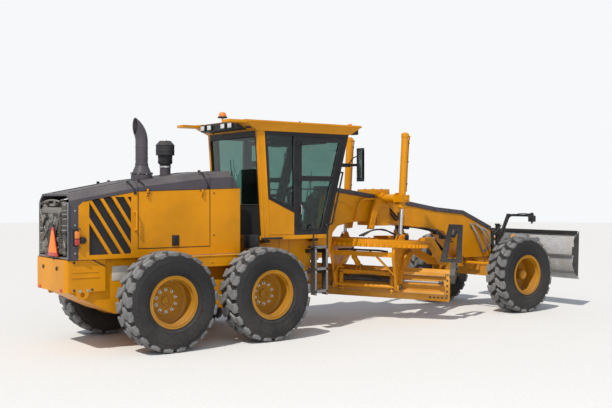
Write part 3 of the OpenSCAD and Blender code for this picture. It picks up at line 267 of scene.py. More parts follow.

# name: colour, bare colour (on dark_cover a painted edge highlight), edge wear (on dark_cover the amount of
# painted edge highlight), dust, dust height, grain scale, grain, roughness, metallic, coat
WORN = {
    "yellow_paint": ((0.66, 0.262, 0, 1), (0.14, 0.10, 0.07, 1), 0.5, 0.1, 1.2, 420, 0.05, 0.4, 0, 0.03),
    "dull_yellow": ((0.56, 0.235, 0.006, 1), (0.16, 0.11, 0.07, 1), 0.7, 0.5, 1.6, 160, 0.14, 0.55, 0, 0),
    "rim_paint": ((0.43, 0.19, 0.004, 1), (0.20, 0.15, 0.10, 1), 0.5, 0.32, 0.9, 200, 0.08, 0.5, 0, 0),
    # dark_cover: its pale bare colour on the edges is a painted highlight along the bevels of the hood, neck
    # cover and stacks
    "dark_cover": ((0.075, 0.068, 0.08, 1), (0.20, 0.19, 0.20, 1), 0.6, 0.45, 1.2, 300, 0.12, 0.48, 0, 0),
    "black_parts": ((0.018, 0.018, 0.02, 1), (0.14, 0.14, 0.14, 1), 0.6, 0.45, 1.6, 260, 0.1, 0.45, 0, 0),
    "rubber_hose": ((0.016, 0.016, 0.017, 1), (0.05, 0.05, 0.05, 1), 0.2, 0.55, 1.8, 500, 0.15, 0.55, 0, 0),
    "engine_grey": ((0.1, 0.105, 0.11, 1), (0.20, 0.20, 0.20, 1), 0.5, 0.6, 2.6, 120, 0.2, 0.6, 0.3, 0),
    "cooler_grey": ((0.06, 0.057, 0.055, 1), (0.45, 0.44, 0.41, 1), 0.9, 0.9, 2.6, 120, 0.2, 0.65, 0.2, 0),
    "frame_steel": ((0.24, 0.24, 0.25, 1), (0.45, 0.45, 0.45, 1), 0.6, 0.6, 1.6, 200, 0.1, 0.45, 0.7, 0),
    "tyre_rubber": ((0.018, 0.018, 0.02, 1), (0.07, 0.07, 0.075, 1), 0.7, 0.16, 1.5, 240, 0.22, 0.72, 0, 0),
    # The tread's rubber is far paler than the side wall's: partly dust, partly painted sunlight on the tread
    "tread_rubber": ((0.105, 0.106, 0.11, 1), (0.30, 0.30, 0.31, 1), 1, 0.7, 2.2, 160, 0.3, 0.78, 0, 0),
    "dusty_steel": ((0.19, 0.182, 0.17, 1), (0.70, 0.68, 0.64, 1), 1, 0.8, 2.8, 90, 0.25, 0.55, 0.3, 0),
    "hose_grey": ((0.3, 0.3, 0.305, 1), (0.50, 0.50, 0.50, 1), 0.3, 0.4, 1.8, 600, 0.2, 0.4, 0.4, 0),
    "moulded_black": ((0.03, 0.03, 0.033, 1), (0.10, 0.10, 0.10, 1), 0.3, 0.25, 1, 700, 0.2, 0.55, 0, 0),
    "sign_red": ((0.55, 0.03, 0.02, 1), (0.3, 0.1, 0.08, 1), 0.2, 0.2, 1, 400, 0.02, 0.35, 0, 0.2),
    "sign_orange": ((1, 0.23, 0.01, 1), (0.5, 0.2, 0.1, 1), 0.2, 0.15, 1, 400, 0.02, 0.35, 0, 0.1),
    "plate_white": ((0.55, 0.52, 0.48, 1), (0.4, 0.38, 0.35, 1), 0.2, 0.5, 2, 300, 0.03, 0.45, 0, 0),
}
# name: colour, roughness, metallic
PLAIN = {
    "rod_steel": ((0.62, 0.62, 0.62, 1), 0.18, 1),
    "bolt_steel": ((0.55, 0.55, 0.54, 1), 0.35, 1),
    "mirror_glass": ((0.75, 0.77, 0.78, 1), 0.05, 1),
}
LAMPS = {"red_lamp": (0.45, 0.02, 0.01, 1), "amber_lamp": (0.85, 0.22, 0.01, 1),
         "clear_lamp": (0.70, 0.72, 0.70, 1)}


def feed(tree, n, values):
    """Gives a node's inputs, by name or number, their constants or links."""
    for key, value in values.items():
        if hasattr(value, "links"):
            tree.links.new(value, n.inputs[key])
        else:
            n.inputs[key].default_value = value
    return n


def node(tree, kind, inputs=None, **settings):
    n = tree.nodes.new(kind)
    for key, value in settings.items():
        setattr(n, key, value)
    return feed(tree, n, inputs or {})


def object_coords(tree):
    return node(tree, "ShaderNodeTexCoord").outputs["Object"]


def ramp(tree, source, low, high):
    """Turns a value between low and high into 0 to 1."""
    return node(tree, "ShaderNodeMapRange", {"From Min": low, "From Max": high, "Value": source},
                clamp=True, interpolation_type="SMOOTHSTEP").outputs["Result"]


def calc(tree, kind, a, b, clamp=False):
    return node(tree, "ShaderNodeMath", {0: a, 1: b}, operation=kind, use_clamp=clamp).outputs[0]


def times(tree, a, b, clamp=False):
    return calc(tree, "MULTIPLY", a, b, clamp)


def plus(tree, a, b, clamp=False):
    return calc(tree, "ADD", a, b, clamp)


def mix(tree, amount, a, b, kind="MIX"):
    return node(tree, "ShaderNodeMix", {6: a, 7: b, 0: amount}, data_type="RGBA", blend_type=kind).outputs[2]


def noise(tree, coords, scale, detail=4, rough=0.6):
    return node(tree, "ShaderNodeTexNoise", {"Scale": scale, "Detail": detail, "Roughness": rough,
                                             "Vector": coords}).outputs["Fac"]


def waves(tree, coords, way, **inputs):
    return node(tree, "ShaderNodeTexWave", {"Vector": coords, **inputs}, wave_type="BANDS",
                bands_direction=way).outputs["Fac"]


def bump(tree, height, strength, distance, **inputs):
    values = {"Height": height, "Strength": strength, "Distance": distance, **inputs}
    return node(tree, "ShaderNodeBump", values).outputs[0]


def new_group(name, inputs, outputs):
    """A shader group: inputs by name as a default colour or number, outputs by name as a kind."""
    group = bpy.data.node_groups.new(name, "ShaderNodeTree")
    for label, value in inputs.items():
        kind = "Color" if isinstance(value, tuple) else "Float"
        group.interface.new_socket(name=label, in_out="INPUT", socket_type="NodeSocket"
                                   + kind).default_value = value
    for label, kind in outputs.items():
        group.interface.new_socket(name=label, in_out="OUTPUT", socket_type="NodeSocket" + kind)
    return group, group.nodes.new("NodeGroupInput").outputs, group.nodes.new("NodeGroupOutput")


def make_wear_dust_and_edge_highlight():
    """Colour, roughness and normal of a surface with worn edges, road dust and fine grain; on the dark cover
    the same edge mask paints highlights along the edges.
    """
    inputs = {"Colour": GREY, "Bare And Highlight Colour": GREY, "Dust Colour": GREY, "Edge Wear And Highlight": 0.5, "Dust": 0.5,
              "Dust Height": 1.2, "Grain Scale": 200.0, "Grain": 0.1, "Roughness": 0.4}
    g, i, o = new_group("Site wear and edge highlight", inputs, {"Colour": "Color", "Roughness": "Float", "Normal": "Vector"})
    coords = object_coords(g)
    place = node(g, "ShaderNodeSeparateXYZ", {0: coords}).outputs
    normal = node(g, "ShaderNodeNewGeometry").outputs["Normal"]
    broad, fine = noise(g, coords, 1.7, 5), noise(g, coords, 26, 6, 0.7)
    # Worn edges, and painted highlights along the dark cover's edges: where a bevelled normal leaves the true
    # one
    bevel = node(g, "ShaderNodeBevel", {"Radius": 0.006}, samples=4).outputs[0]
    turn = node(g, "ShaderNodeVectorMath", {0: bevel, 1: normal}, operation="DOT_PRODUCT").outputs["Value"]
    edge = ramp(g, calc(g, "SUBTRACT", 1.0, turn), 0.04, 0.22)
    edge = times(g, edge, ramp(g, fine, 0.42, 0.62))
    edge = times(g, edge, i["Edge Wear And Highlight"], True)
    # Dust low down and on what faces up
    up = node(g, "ShaderNodeSeparateXYZ", {0: normal}).outputs["Z"]
    low = calc(g, "SUBTRACT", 1.0, calc(g, "DIVIDE", place["Z"], i["Dust Height"], True), True)
    lying = times(g, ramp(g, up, 0.35, 0.95), 0.55)
    dust = plus(g, times(g, low, 0.9), lying, True)
    patches = ramp(g, plus(g, times(g, broad, 0.6), times(g, fine, 0.4)), 0.3, 0.68)
    dust = times(g, times(g, dust, patches), i["Dust"], True)
    shade = mix(g, ramp(g, broad, 0.3, 0.75), (0.84, 0.84, 0.84, 1), (1.06, 1.06, 1.06, 1))
    colour = mix(g, 1.0, i["Colour"], shade, "MULTIPLY")
    colour = mix(g, dust, mix(g, edge, colour, i["Bare And Highlight Colour"]), i["Dust Colour"])
    rough = plus(g, i["Roughness"], times(g, calc(g, "SUBTRACT", fine, 0.5), 0.18))
    rough = plus(g, rough, times(g, dust, 0.4), True)
    grain = node(g, "ShaderNodeTexNoise", {"Vector": coords, "Scale": i["Grain Scale"]}).outputs["Fac"]
    relief = bump(g, plus(g, grain, times(g, fine, 0.5)), i["Grain"], 0.002, Normal=bevel)
    feed(g, o, {"Colour": colour, "Roughness": rough, "Normal": relief})


def make_weave():
    """Colour and height of a coarse woven seat cloth."""
    g, i, o = new_group("Seat weave", {"Colour": GREY, "Thread Scale": 260.0},
                        {"Colour": "Color", "Height": "Float"})
    coords = object_coords(g)
    height = times(g, *[waves(g, coords, way, Scale=i["Thread Scale"], Distortion=0.4) for way in "XY"])
    shade = mix(g, height, (0.6, 0.6, 0.6, 1), (1.2, 1.2, 1.2, 1))
    feed(g, o, {"Colour": mix(g, 1.0, i["Colour"], shade, "MULTIPLY"), "Height": height})


def make_streaks():
    """Colour of bare steel scoured along one way, with mud left on it."""
    g, i, o = new_group("Scoured steel", {"Colour": GREY, "Mud": GREY, "Mud Amount": 0.5},
                        {"Colour": "Color", "Roughness": "Float", "Height": "Float"})
    coords = object_coords(g)
    stretched = node(g, "ShaderNodeMapping", {"Scale": (3, 3, 40), "Vector": coords}).outputs[0]
    lines, broad = noise(g, stretched, 3, 6, 0.7), noise(g, coords, 3, 6, 0.65)
    shade = mix(g, ramp(g, lines, 0.3, 0.7), (0.55, 0.55, 0.55, 1), (1.15, 1.15, 1.15, 1))
    colour = mix(g, 1.0, i["Colour"], shade, "MULTIPLY")
    mud = times(g, ramp(g, broad, 0.45, 0.62), i["Mud Amount"], True)
    feed(g, o, {"Colour": mix(g, mud, colour, i["Mud"]), "Roughness": plus(g, 0.35, times(g, mud, 0.5), True),
                "Height": plus(g, lines, mud)})


def new_material(name):
    material = bpy.data.materials.new(name)
    material.use_nodes = True
    return material, material.node_tree, material.node_tree.nodes["Principled BSDF"]


def grouped(tree, name, values):
    """The outputs of a shader group with these inputs."""
    return node(tree, "ShaderNodeGroup", values, node_tree=bpy.data.node_groups[name]).outputs


def worn(name, values):
    colour, bare, edge, dust, height, scale, grain, rough, metallic, coat = values
    m, tree, bsdf = new_material(name)
    # The bare colour goes on the edges: bare metal on most finishes, a painted highlight on dark_cover
    g = grouped(tree, "Site wear and edge highlight", {"Colour": colour, "Bare And Highlight Colour": bare,
                                    "Dust Colour": DUSTS.get(name, DUST_GREY), "Edge Wear And Highlight": edge,
                                    "Dust": dust, "Dust Height": height, "Grain Scale": scale, "Grain": grain,
                                    "Roughness": rough})
    feed(tree, bsdf, {"Base Color": g["Colour"], "Roughness": g["Roughness"], "Normal": g["Normal"],
                      "Metallic": metallic, "Coat Weight": coat, "Coat Roughness": 0.15,
                      "Specular IOR Level": 0.25})
    return m


def darker(colour, part):
    return tuple(c * part for c in colour[:3]) + (1,)


def plain(name, values):
    colour, rough, metallic = values
    m, tree, bsdf = new_material(name)
    spots = noise(tree, object_coords(tree), 60, 5)
    feed(tree, bsdf, {"Base Color": mix(tree, ramp(tree, spots, 0.4, 0.75), colour, darker(colour, 0.6)),
                      "Roughness": plus(tree, rough, times(tree, spots, 0.15)), "Metallic": metallic})
    return m


def lamp(name, colour):
    """A ribbed coloured lens."""
    m, tree, bsdf = new_material(name)
    ribs = waves(tree, object_coords(tree), "Z", Scale=30)
    feed(tree, bsdf, {"Normal": bump(tree, ribs, 0.4, 0.002),
                      "Base Color": mix(tree, ribs, darker(colour, 0.75), colour), "Roughness": 0.12,
                      "Coat Weight": 0.6})
    return m


def tinted_glass(name):
    m, tree, bsdf = new_material(name)
    film = ramp(tree, noise(tree, object_coords(tree), 4, 6, 0.7), 0.45, 0.8)
    feed(tree, bsdf, {"Base Color": mix(tree, film, (0.27, 0.43, 0.39, 1), (0.42, 0.50, 0.45, 1)),
                      "Roughness": plus(tree, 0.02, times(tree, film, 0.1)), "Transmission Weight": 1.0,
                      "IOR": 1.45})
    return m


def grey_blade(name):
    m, tree, bsdf = new_material(name)
    g = grouped(tree, "Scoured steel", {"Colour": (0.50, 0.50, 0.51, 1), "Mud": (0.34, 0.31, 0.26, 1),
                                        "Mud Amount": 0.5})
    feed(tree, bsdf, {"Base Color": g["Colour"], "Roughness": g["Roughness"], "Metallic": 0.15,
                      "Normal": bump(tree, g["Height"], 0.25, 0.003)})
    return m


def seat_cloth(name):
    m, tree, bsdf = new_material(name)
    g = grouped(tree, "Seat weave", {"Colour": (0.050, 0.052, 0.060, 1)})
    feed(tree, bsdf, {"Base Color": g["Colour"], "Normal": bump(tree, g["Height"], 0.6, 0.002),
                      "Roughness": 0.9, "Sheen Weight": 0.3})
    return m


def finish_named(name):
    """The material of this name, made once."""
    known = bpy.data.materials.get(name)
    if known and known.get("grader_finish"):
        return known
    if known:
        known.name = name + ".cad"
    if "Site wear and edge highlight" not in bpy.data.node_groups:
        make_wear_dust_and_edge_highlight()
        make_weave()
        make_streaks()
    for table, make in ((WORN, worn), (PLAIN, plain), (LAMPS, lamp)):
        if name in table:
            m = make(name, table[name])
            break
    else:
        m = {"tinted_glass": tinted_glass, "grey_blade": grey_blade, "seat_cloth": seat_cloth}[name](name)
    m["grader_finish"] = True
    return m


# Wheels

WHEELS = [(end, short, word, side) for end in ("rear", "mid", "front") for short, word, side in SIDES]
# Face of each wheel's disc, out from the wheel's middle plane
DISC = {"rear": -68, "mid": -68, "front": -100}
TREAD_FLOOR = 0.643
LUGS = 22
IN_PLACE = Matrix.Identity(4)


def around(count, radius):
    """Places round a circle, as two distances from its middle."""
    turns = (k * 2 * math.pi / count for k in range(count))
    return [(radius * math.cos(a), radius * math.sin(a)) for a in turns]


def wheel_place(end, short, side):
    """A matrix at the wheel's middle, with Z out along its axle and X up."""
    lo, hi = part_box(f"tyre_{end}_{short}")
    return frame_of((lo + hi) / 2, Y * side, Z)


def wrap(bm, crown=0.0):
    """Bends a flat pattern, along X and across Y with its height in Z, round the wheel's axle."""
    for v in bm.verts:
        angle, across = v.co.x / TREAD_FLOOR, v.co.y
        r = TREAD_FLOOR + v.co.z - crown * (abs(across) / 0.2) ** 4
        v.co = Vector((r * math.cos(angle), r * math.sin(angle), across))


def lug_on(bm, face, lead):
    """Moves a lug to its side of the tread and along it."""
    bmesh.ops.scale(bm, vec=(1, face, 1), verts=bm.verts)
    if face < 0:
        bmesh.ops.reverse_faces(bm, faces=bm.faces)
    bmesh.ops.translate(bm, vec=(lead / 1000, 0, 0), verts=bm.verts)


def tread_block(outline, base, top, taper):
    """One rubber block of the tread over a flat outline, in mm."""
    bm = bmesh.new()
    corners = [bm.verts.new((u / 1000, v / 1000, base / 1000)) for u, v in outline]
    face = bmesh.ops.contextual_create(bm, geom=corners)["faces"]
    out = bmesh.ops.extrude_face_region(bm, geom=face)["geom"]
    raised = [v for v in out if isinstance(v, bmesh.types.BMVert)]
    middle = sum((v.co for v in raised), Vector()) / len(raised)
    for v in raised:
        v.co = middle + (v.co - middle) * taper
        v.co.z = top / 1000
    bmesh.ops.recalc_face_normals(bm, faces=bm.faces)
    return soften(bm, 3, math.radians(40), 1)


def lug_foot(half):
    """Foot of a shoulder block, down the side wall."""
    foot = bmesh.new()
    bmesh.ops.create_cube(foot, size=1.0)
    bmesh.ops.scale(foot, vec=(0.118, 0.014, 0.044), verts=foot.verts)
    for v in foot.verts:
        if v.co.z < 0:
            v.co.x *= 0.45
            v.co.y *= 0.5
        else:
            v.co.y = v.co.y * 1.1 - 0.012
    bmesh.ops.translate(foot, vec=(0.101, half - 0.018, -0.010), verts=foot.verts)
    return soften(foot, 4, math.radians(40), 1)


def tyre(name, end, short, body, side, radius, half):
    # Tread blocks take the paler rubber, partly dust and partly painted sunlight; the walls take the dark
    # rubber
    rubber = Piece("tread_rubber", "tyre_rubber")
    reach = half * 1000
    wall = [(322, 168), (345, 176), (358, 190), (366, 184), (400, 203), (404, 208), (409, 205),
            (450, reach - 4), (500, reach), (545, reach - 3), (549, reach), (556, reach - 6),
            (590, reach - 10), (618, reach - 22), (634, reach - 60), (641, reach - 130), (643, 0)]
    outline = wall + [(r, -z) for r, z in reversed(wall[:-1])] + [(322, z) for z in (-100, 0, 100)]
    rubber.add(lathe(outline, IN_PLACE, 96), "tyre_rubber")
    centre = [(-14, 4), (92, 12), (152, 96), (138, 112), (40, 104), (-22, 30)]
    shoulder = [(42, 118), (162, 110), (180, 152), (172, reach - 20), (30, reach - 20), (38, 164)]
    pitch = 2 * math.pi * radius * 1000 / LUGS
    for k in range(LUGS):
        for face in (-1, 1):
            lead = k * pitch + (pitch / 2 if face > 0 else 0)
            for shape, top in ((centre, 30), (shoulder, 29)):
                b = tread_block(shape, -14, top, 0.9)
                lug_on(b, face, lead)
                wrap(b, 0.008)
                rubber.add(b)
            foot = lug_foot(half)
            lug_on(foot, face, lead)
            wrap(foot)
            rubber.add(foot)
    # Ribs near the bead
    for k in range(72):
        for face in (-1, 1):
            spot = Matrix.Translation((0.425, 0, face * (half - 0.011)))
            rubber.add(slab((30, 3, 5), Matrix.Rotation(k * math.pi / 36, 4, "Z") @ spot, 0), "tyre_rubber")
    rubber.turn(wheel_place(end, short, side))
    return rubber.done(name, body, "tyre_rubber", f"tyre_{end}_{short}", crease=40)


def rim_trim(name, end, short, body, side):
    """Lock ring, bolts, valve and hub of one wheel."""
    trim = Piece("rim_paint", "bolt_steel")
    for face in (1, -1):
        for ring in (((352, 172), (356, 176), (356, 187), (352, 190), (338, 190), (336, 184), (344, 180)),
                     ((308, 166), (322, 170), (326, 186), (320, 190), (312, 188)),
                     ((290, 120), (306.5, 124), (306.5, 136), (290, 132))):
            trim.add(lathe([(r, face * z) for r, z in ring], IN_PLACE, 72))
    disc = Matrix.Translation((0, 0, DISC[end] / 1000))
    if end == "front":
        # Cap and flange of the front hub
        trim.add(lathe([(0, 145), (88, 145), (92, 149), (92, 175), (86, 191), (70, 203), (0, 207)], disc, 40))
        trim.add(lathe([(88, 0), (150, 0), (158, 6), (150, 12), (104, 40), (88, 44)], disc, 48))
        for u, v in around(10, 0.19):
            trim.add(bolt((0, 0, 0), Z, 15, 18, disc @ Matrix.Translation((u, v, 0))), "bolt_steel")
    else:
        trim.add(lathe([(96, 0), (200, 0), (205, 5), (198, 10), (110, 14), (104, 10)], disc, 48))
        trim.add(lathe([(0, 2), (42, 2), (60, 2), (66, 12), (60, 22), (44, 26), (38, 10), (0, 8)], disc, 40))
        for u, v in around(10, 0.152):
            spot = disc @ Matrix.Translation((u, v, 0.010))
            trim.add(lathe([(0, 0), (24, 0), (24, 4), (17, 6), (15, 27), (9, 31), (0, 31)], spot, 12),
                     "bolt_steel")
        # Stiffening ridge between the disc and the barrel
        trim.add(lathe([(262, -1), (307, -1), (307, 29), (290, 11)], disc, 72))
    # Valve
    valve = Matrix.Translation((0.29, 0.03, 0.11))
    trim.add(lathe([(0, 0), (7, 0), (7, 40), (5, 46), (0, 46)], valve, 10), "bolt_steel")
    trim.turn(wheel_place(end, short, side))
    return trim.done(name, body, "rim_paint")


# Stage

def make_world():
    world = bpy.data.worlds.new("Studio")
    bpy.context.scene.world = world
    world.use_nodes = True
    tree = world.node_tree
    tree.nodes.clear()
    light = node(tree, "ShaderNodeBackground", {"Color": (0.80, 0.87, 1.0, 1), "Strength": 0.45}).outputs[0]
    back = node(tree, "ShaderNodeBackground", {"Color": (0.93, 0.94, 0.95, 1), "Strength": 1.0}).outputs[0]
    rays = node(tree, "ShaderNodeLightPath").outputs
    pick, out = node(tree, "ShaderNodeMixShader"), node(tree, "ShaderNodeOutputWorld")
    seen = calc(tree, "MAXIMUM", rays["Is Camera Ray"], times(tree, rays["Is Glossy Ray"], 0.7))
    seen = calc(tree, "MAXIMUM", seen, rays["Is Transmission Ray"])
    feed(tree, pick, {0: seen, 1: light, 2: back})
    feed(tree, out, {"Surface": pick.outputs[0]})


def make_floor(radius):
    bm = bmesh.new()
    bmesh.ops.create_circle(bm, cap_ends=True, segments=96, radius=radius)
    mesh = bpy.data.meshes.new("floor")
    bm.to_mesh(mesh)
    bm.free()
    m, tree, bsdf = new_material("floor")
    grit = ramp(tree, noise(tree, object_coords(tree), 30, 8, 0.75), 0.3, 0.7)
    feed(tree, bsdf, {"Base Color": mix(tree, grit, (0.66, 0.66, 0.65, 1), (0.74, 0.74, 0.74, 1)),
                      "Roughness": 0.95})
    mesh.materials.append(m)
    ground = link_new("floor", mesh)


def aim(thing, way):
    thing.rotation_euler = way.to_track_quat("-Z", "Y").to_euler()


def make_stage(props):
    make_world()
    make_floor(props.floor_size)
    light = bpy.data.lights.new("sun", "SUN")
    light.energy, light.angle, light.color = props.sun_power, math.radians(1.2), (1.0, 0.95, 0.87)
    aim(link_new("sun", light), Vector((0.56, 0.27, -0.78)))
    fill = bpy.data.lights.new("fill", "AREA")
    fill.energy, fill.size, fill.color = props.fill_power, 9.0, (0.95, 0.97, 1.0)
    panel = link_new("fill", fill)
    panel.location = (-9.0, -13.0, 7.0)
    aim(panel, Vector((0, 0, 1.2)) - panel.location)


def make_camera():
    """The camera of the photo, as solved from the tyres' outlines."""
    data = bpy.data.cameras.new("camera")
    data.lens, data.sensor_width, data.clip_end = 52.7, 36.0, 200
    camera = link_new("camera", data)
    camera.location = (-9.193, -11.783, 2.077)
    camera.rotation_mode = "QUATERNION"
    camera.rotation_quaternion = Vector((0.5912, 0.8065, -0.0085)).to_track_quat("-Z", "Y")
    bpy.context.scene.camera = camera
    bpy.context.scene.view_settings.view_transform = "Standard"


# Rear end and hood

HOOD_SIDE, BUMPER_SIDE, FRAME_SIDE = 570, 540, 500
EXHAUST, INTAKE = (-790, -250), (-190, 200)
HOOD_TOP = ((-1960, 2110), (-1000, 2290), (130, 2435), (500, 2450), (640, 2260))
HOOD_TRIM = ((-1780, 2010), (-1000, 2150), (640, 2200))


def on_line(line, x):
    """Height of a bent line at x."""
    for (xa, za), (xb, zb) in zip(line, line[1:]):
        if x <= xb:
            return za + (zb - za) * (x - xa) / (xb - xa)
    return line[-1][1]


def hood_profile(x, out=0.0):
    """Points over the hood from the right colour line to the left one."""
    top, low = on_line(HOOD_TOP, x), on_line(HOOD_TRIM, x)
    half = HOOD_SIDE + out
    return [(x, -half, low), (x, -half, top - 90 + out / 2), (x, -460 - out / 2, top + out),
            (x, 460 + out / 2, top + out), (x, half, top - 90 + out / 2), (x, half, low)]


def make_hood_trim():
    trim = Piece("black_parts", "dark_cover", "yellow_paint", "bolt_steel")
    # Seams over the hood, and the long seam along the colour line
    for x in (-1000, 130, 500):
        trim.add(bar(hood_profile(x, 0.5), 4, 6))
    for s in (-1, 1):
        trim.add(bar([(x, s * (HOOD_SIDE + 0.5), on_line(HOOD_TRIM, x))
                      for x in (-1780, -1400, -1000, -400, 130, 640)], 4, 6))
        # Pressed beads of the cover
        for xa, xb in ((-1880, -1080), (-920, 60), (200, 440)):
            for y in (-300, 300):
                za, zb = on_line(HOOD_TOP, xa) + 1, on_line(HOOD_TOP, xb) + 1
                if not (xa < -790 < xb and y < 0):
                    trim.add(bar([(xa, y, za), (xb, y, zb)], 7), "dark_cover")
        # Rubber straps across the chamfer
        for xa, za, xb, zb in ((-955, 2255, -860, 2165), (-10, 2395, 95, 2250), (-1120, 2235, -1050, 2160)):
            path = [(xa, s * 500, za + 42), (xa + (xb - xa) * 0.35, s * 545, za), (xb, s * 574, zb),
                    (xb + 8, s * 574, zb - 40)]
            trim.add(pipe(path, 9))
            for p in (path[0], path[-1]):
                trim.add(slab((44, 14, 34), move(*p), 4))
        # Grab handle beside the grille
        trim.add(pipe([(-1045, s * HOOD_SIDE, 1868), (-1045, s * 620, 1862), (-1045, s * 624, 1830),
                       (-1045, s * 624, 1650), (-1045, s * 620, 1622), (-1045, s * HOOD_SIDE, 1616)], 13, 12),
                 "yellow_paint")
        for z in (1868, 1616):
            trim.add(rod((-1045, s * 569, z), (-1045, s * 578, z), 24), "yellow_paint")
        # Rear corner: rubber edge and screws
        for z in (1330, 1500, 1700, 1890):
            trim.add(bolt((-1905, s * 583, z), Y * s, 8, 6), "bolt_steel")
        trim.add(bar([(-1962, s * 566, 1250), (-1962, s * 566, 1960)], 6))
        for z in (1520, 2126):
            trim.add(bolt((195, s * HOOD_SIDE, z), Y * s, 8, 6))
    return trim.done("hood_trim", "rear_chassis", "dark_cover")


def make_grilles():
    mesh = Piece("black_parts", "moulded_black")
    back, front = -1705, -1088
    for s in (-1, 1):
        for k in range(27):
            z = 1296 + k * 29
            if z > on_line(HOOD_TRIM, back) - 40:
                break
            tilt = move((back + front) / 2, s * 531, z) @ Matrix.Rotation(s * math.radians(-38), 4, "X")
            mesh.add(slab((front - back, 26, 3), tilt, 0), "moulded_black")
        for k in range(12):
            x = -1690 + k * 53
            mesh.add(block((x, s * 534 - 2, 1290), (x + 4, s * 534 + 2, on_line(HOOD_TRIM, x) - 40), 0))
        # Dark frame round the opening
        for xa, xb, top in ((-1712, -1083, 1302), (-1712, -1698, 2030), (-1097, -1083, 2060)):
            mesh.add(block((xa, s * 540 - 6, 1290), (xb, s * 540 + 6, top), 2))
    return mesh.done("hood_louvres", "rear_chassis", "black_parts")


def make_door_trim(short, word, s):
    """Latch, seam and hinge caps of one service door."""
    trim = Piece("black_parts")
    trim.add(block((-485, s * 569, 1385), (-372, s * 580, 1535), 8))
    trim.add(block((-470, s * 578, 1400), (-430, s * 594, 1520), 6))
    # Rubber edge round the door
    low, edge = 1366, 571
    trim.add(bar([(-994, s * edge, 2138), (-994, s * edge, low), (124, s * edge, low), (124, s * edge, 2172)],
                 3.5, 6))
    for x in (-880, -20):
        for z in (2090, 2120):
            trim.add(bolt((x + 15, s * 596, z), Y * s, 7, 5))
    return trim.done(f"hood_door_trim_{short}", f"hood_door_{word}", "yellow_paint")


def make_engine_trim():
    """Manifolds, filters and pipes that show when a service door is open."""
    e = Piece("dusty_steel", "engine_grey", "black_parts", "rubber_hose", "yellow_paint")
    for s in (-1, 1):
        y = (lambda v: v - 60) if s > 0 else (lambda v: -v)
        e.add(rod((-820, y(356), 1760), (240, y(356), 1760), 34, 6, 24), "engine_grey")
        e.add(block((-890, y(338) - 10, 1840), (340, y(338) + 10, 1936), 8))
        for k in range(6):
            x = -740 + k * 176
            e.add(pipe([(x, y(326), 1610), (x, y(362), 1640), (x, y(366), 1700), (x, y(356), 1756)], 22, 12),
                  "engine_grey")
            e.add(block((x - 38, y(332) - 10, 1572), (x + 38, y(332) + 10, 1646), 5))
            for dx in (-60, 60):
                e.add(bolt((x + dx, y(348), 1888), Y * s, 9, 8))
        # Filters on their head, pump and pipes
        e.add(block((-700, y(345) - 30, 1500), (-380, y(345) + 30, 1546), 8), "engine_grey")
        for x, finish in ((-620, "yellow_paint"), (-460, "black_parts")):
            e.add(rod((x, y(345), 1300), (x, y(345), 1502), 50, 9, 28), finish)
        e.add(rod((-240, y(330), 1400), (-60, y(330), 1400), 62, 10, 28), "engine_grey")
        e.add(rod((-62, y(330), 1400), (10, y(330), 1400), 40, 6, 20))
        for k in range(6):
            e.add(pipe([(-190 + k * 22, y(352), 1456), (-190 + k * 22, y(376), 1500),
                        (-300 + k * 60, y(372), 1560), (-740 + k * 176, y(340), 1604)], 6, 6))
        e.add(pipe([(-700, y(372), 1522), (-790, y(376), 1500), (-830, y(366), 1400), (-860, y(336), 1290)],
                   16, 10), "rubber_hose")
        e.add(pipe([(60, y(336), 1320), (120, y(380), 1380), (130, y(380), 1560), (200, y(340), 1640)], 24,
                   12), "rubber_hose")
    # Cover on top, with its bolts
    e.add(block((-860, -150, 1940), (300, 150, 2010), 18), "engine_grey")
    for x in (-700, -400, -100, 200):
        e.add(bolt((x, 0, 2010), Z, 14, 12))
    return e.done("engine_trim", "rear_chassis", "engine_grey")


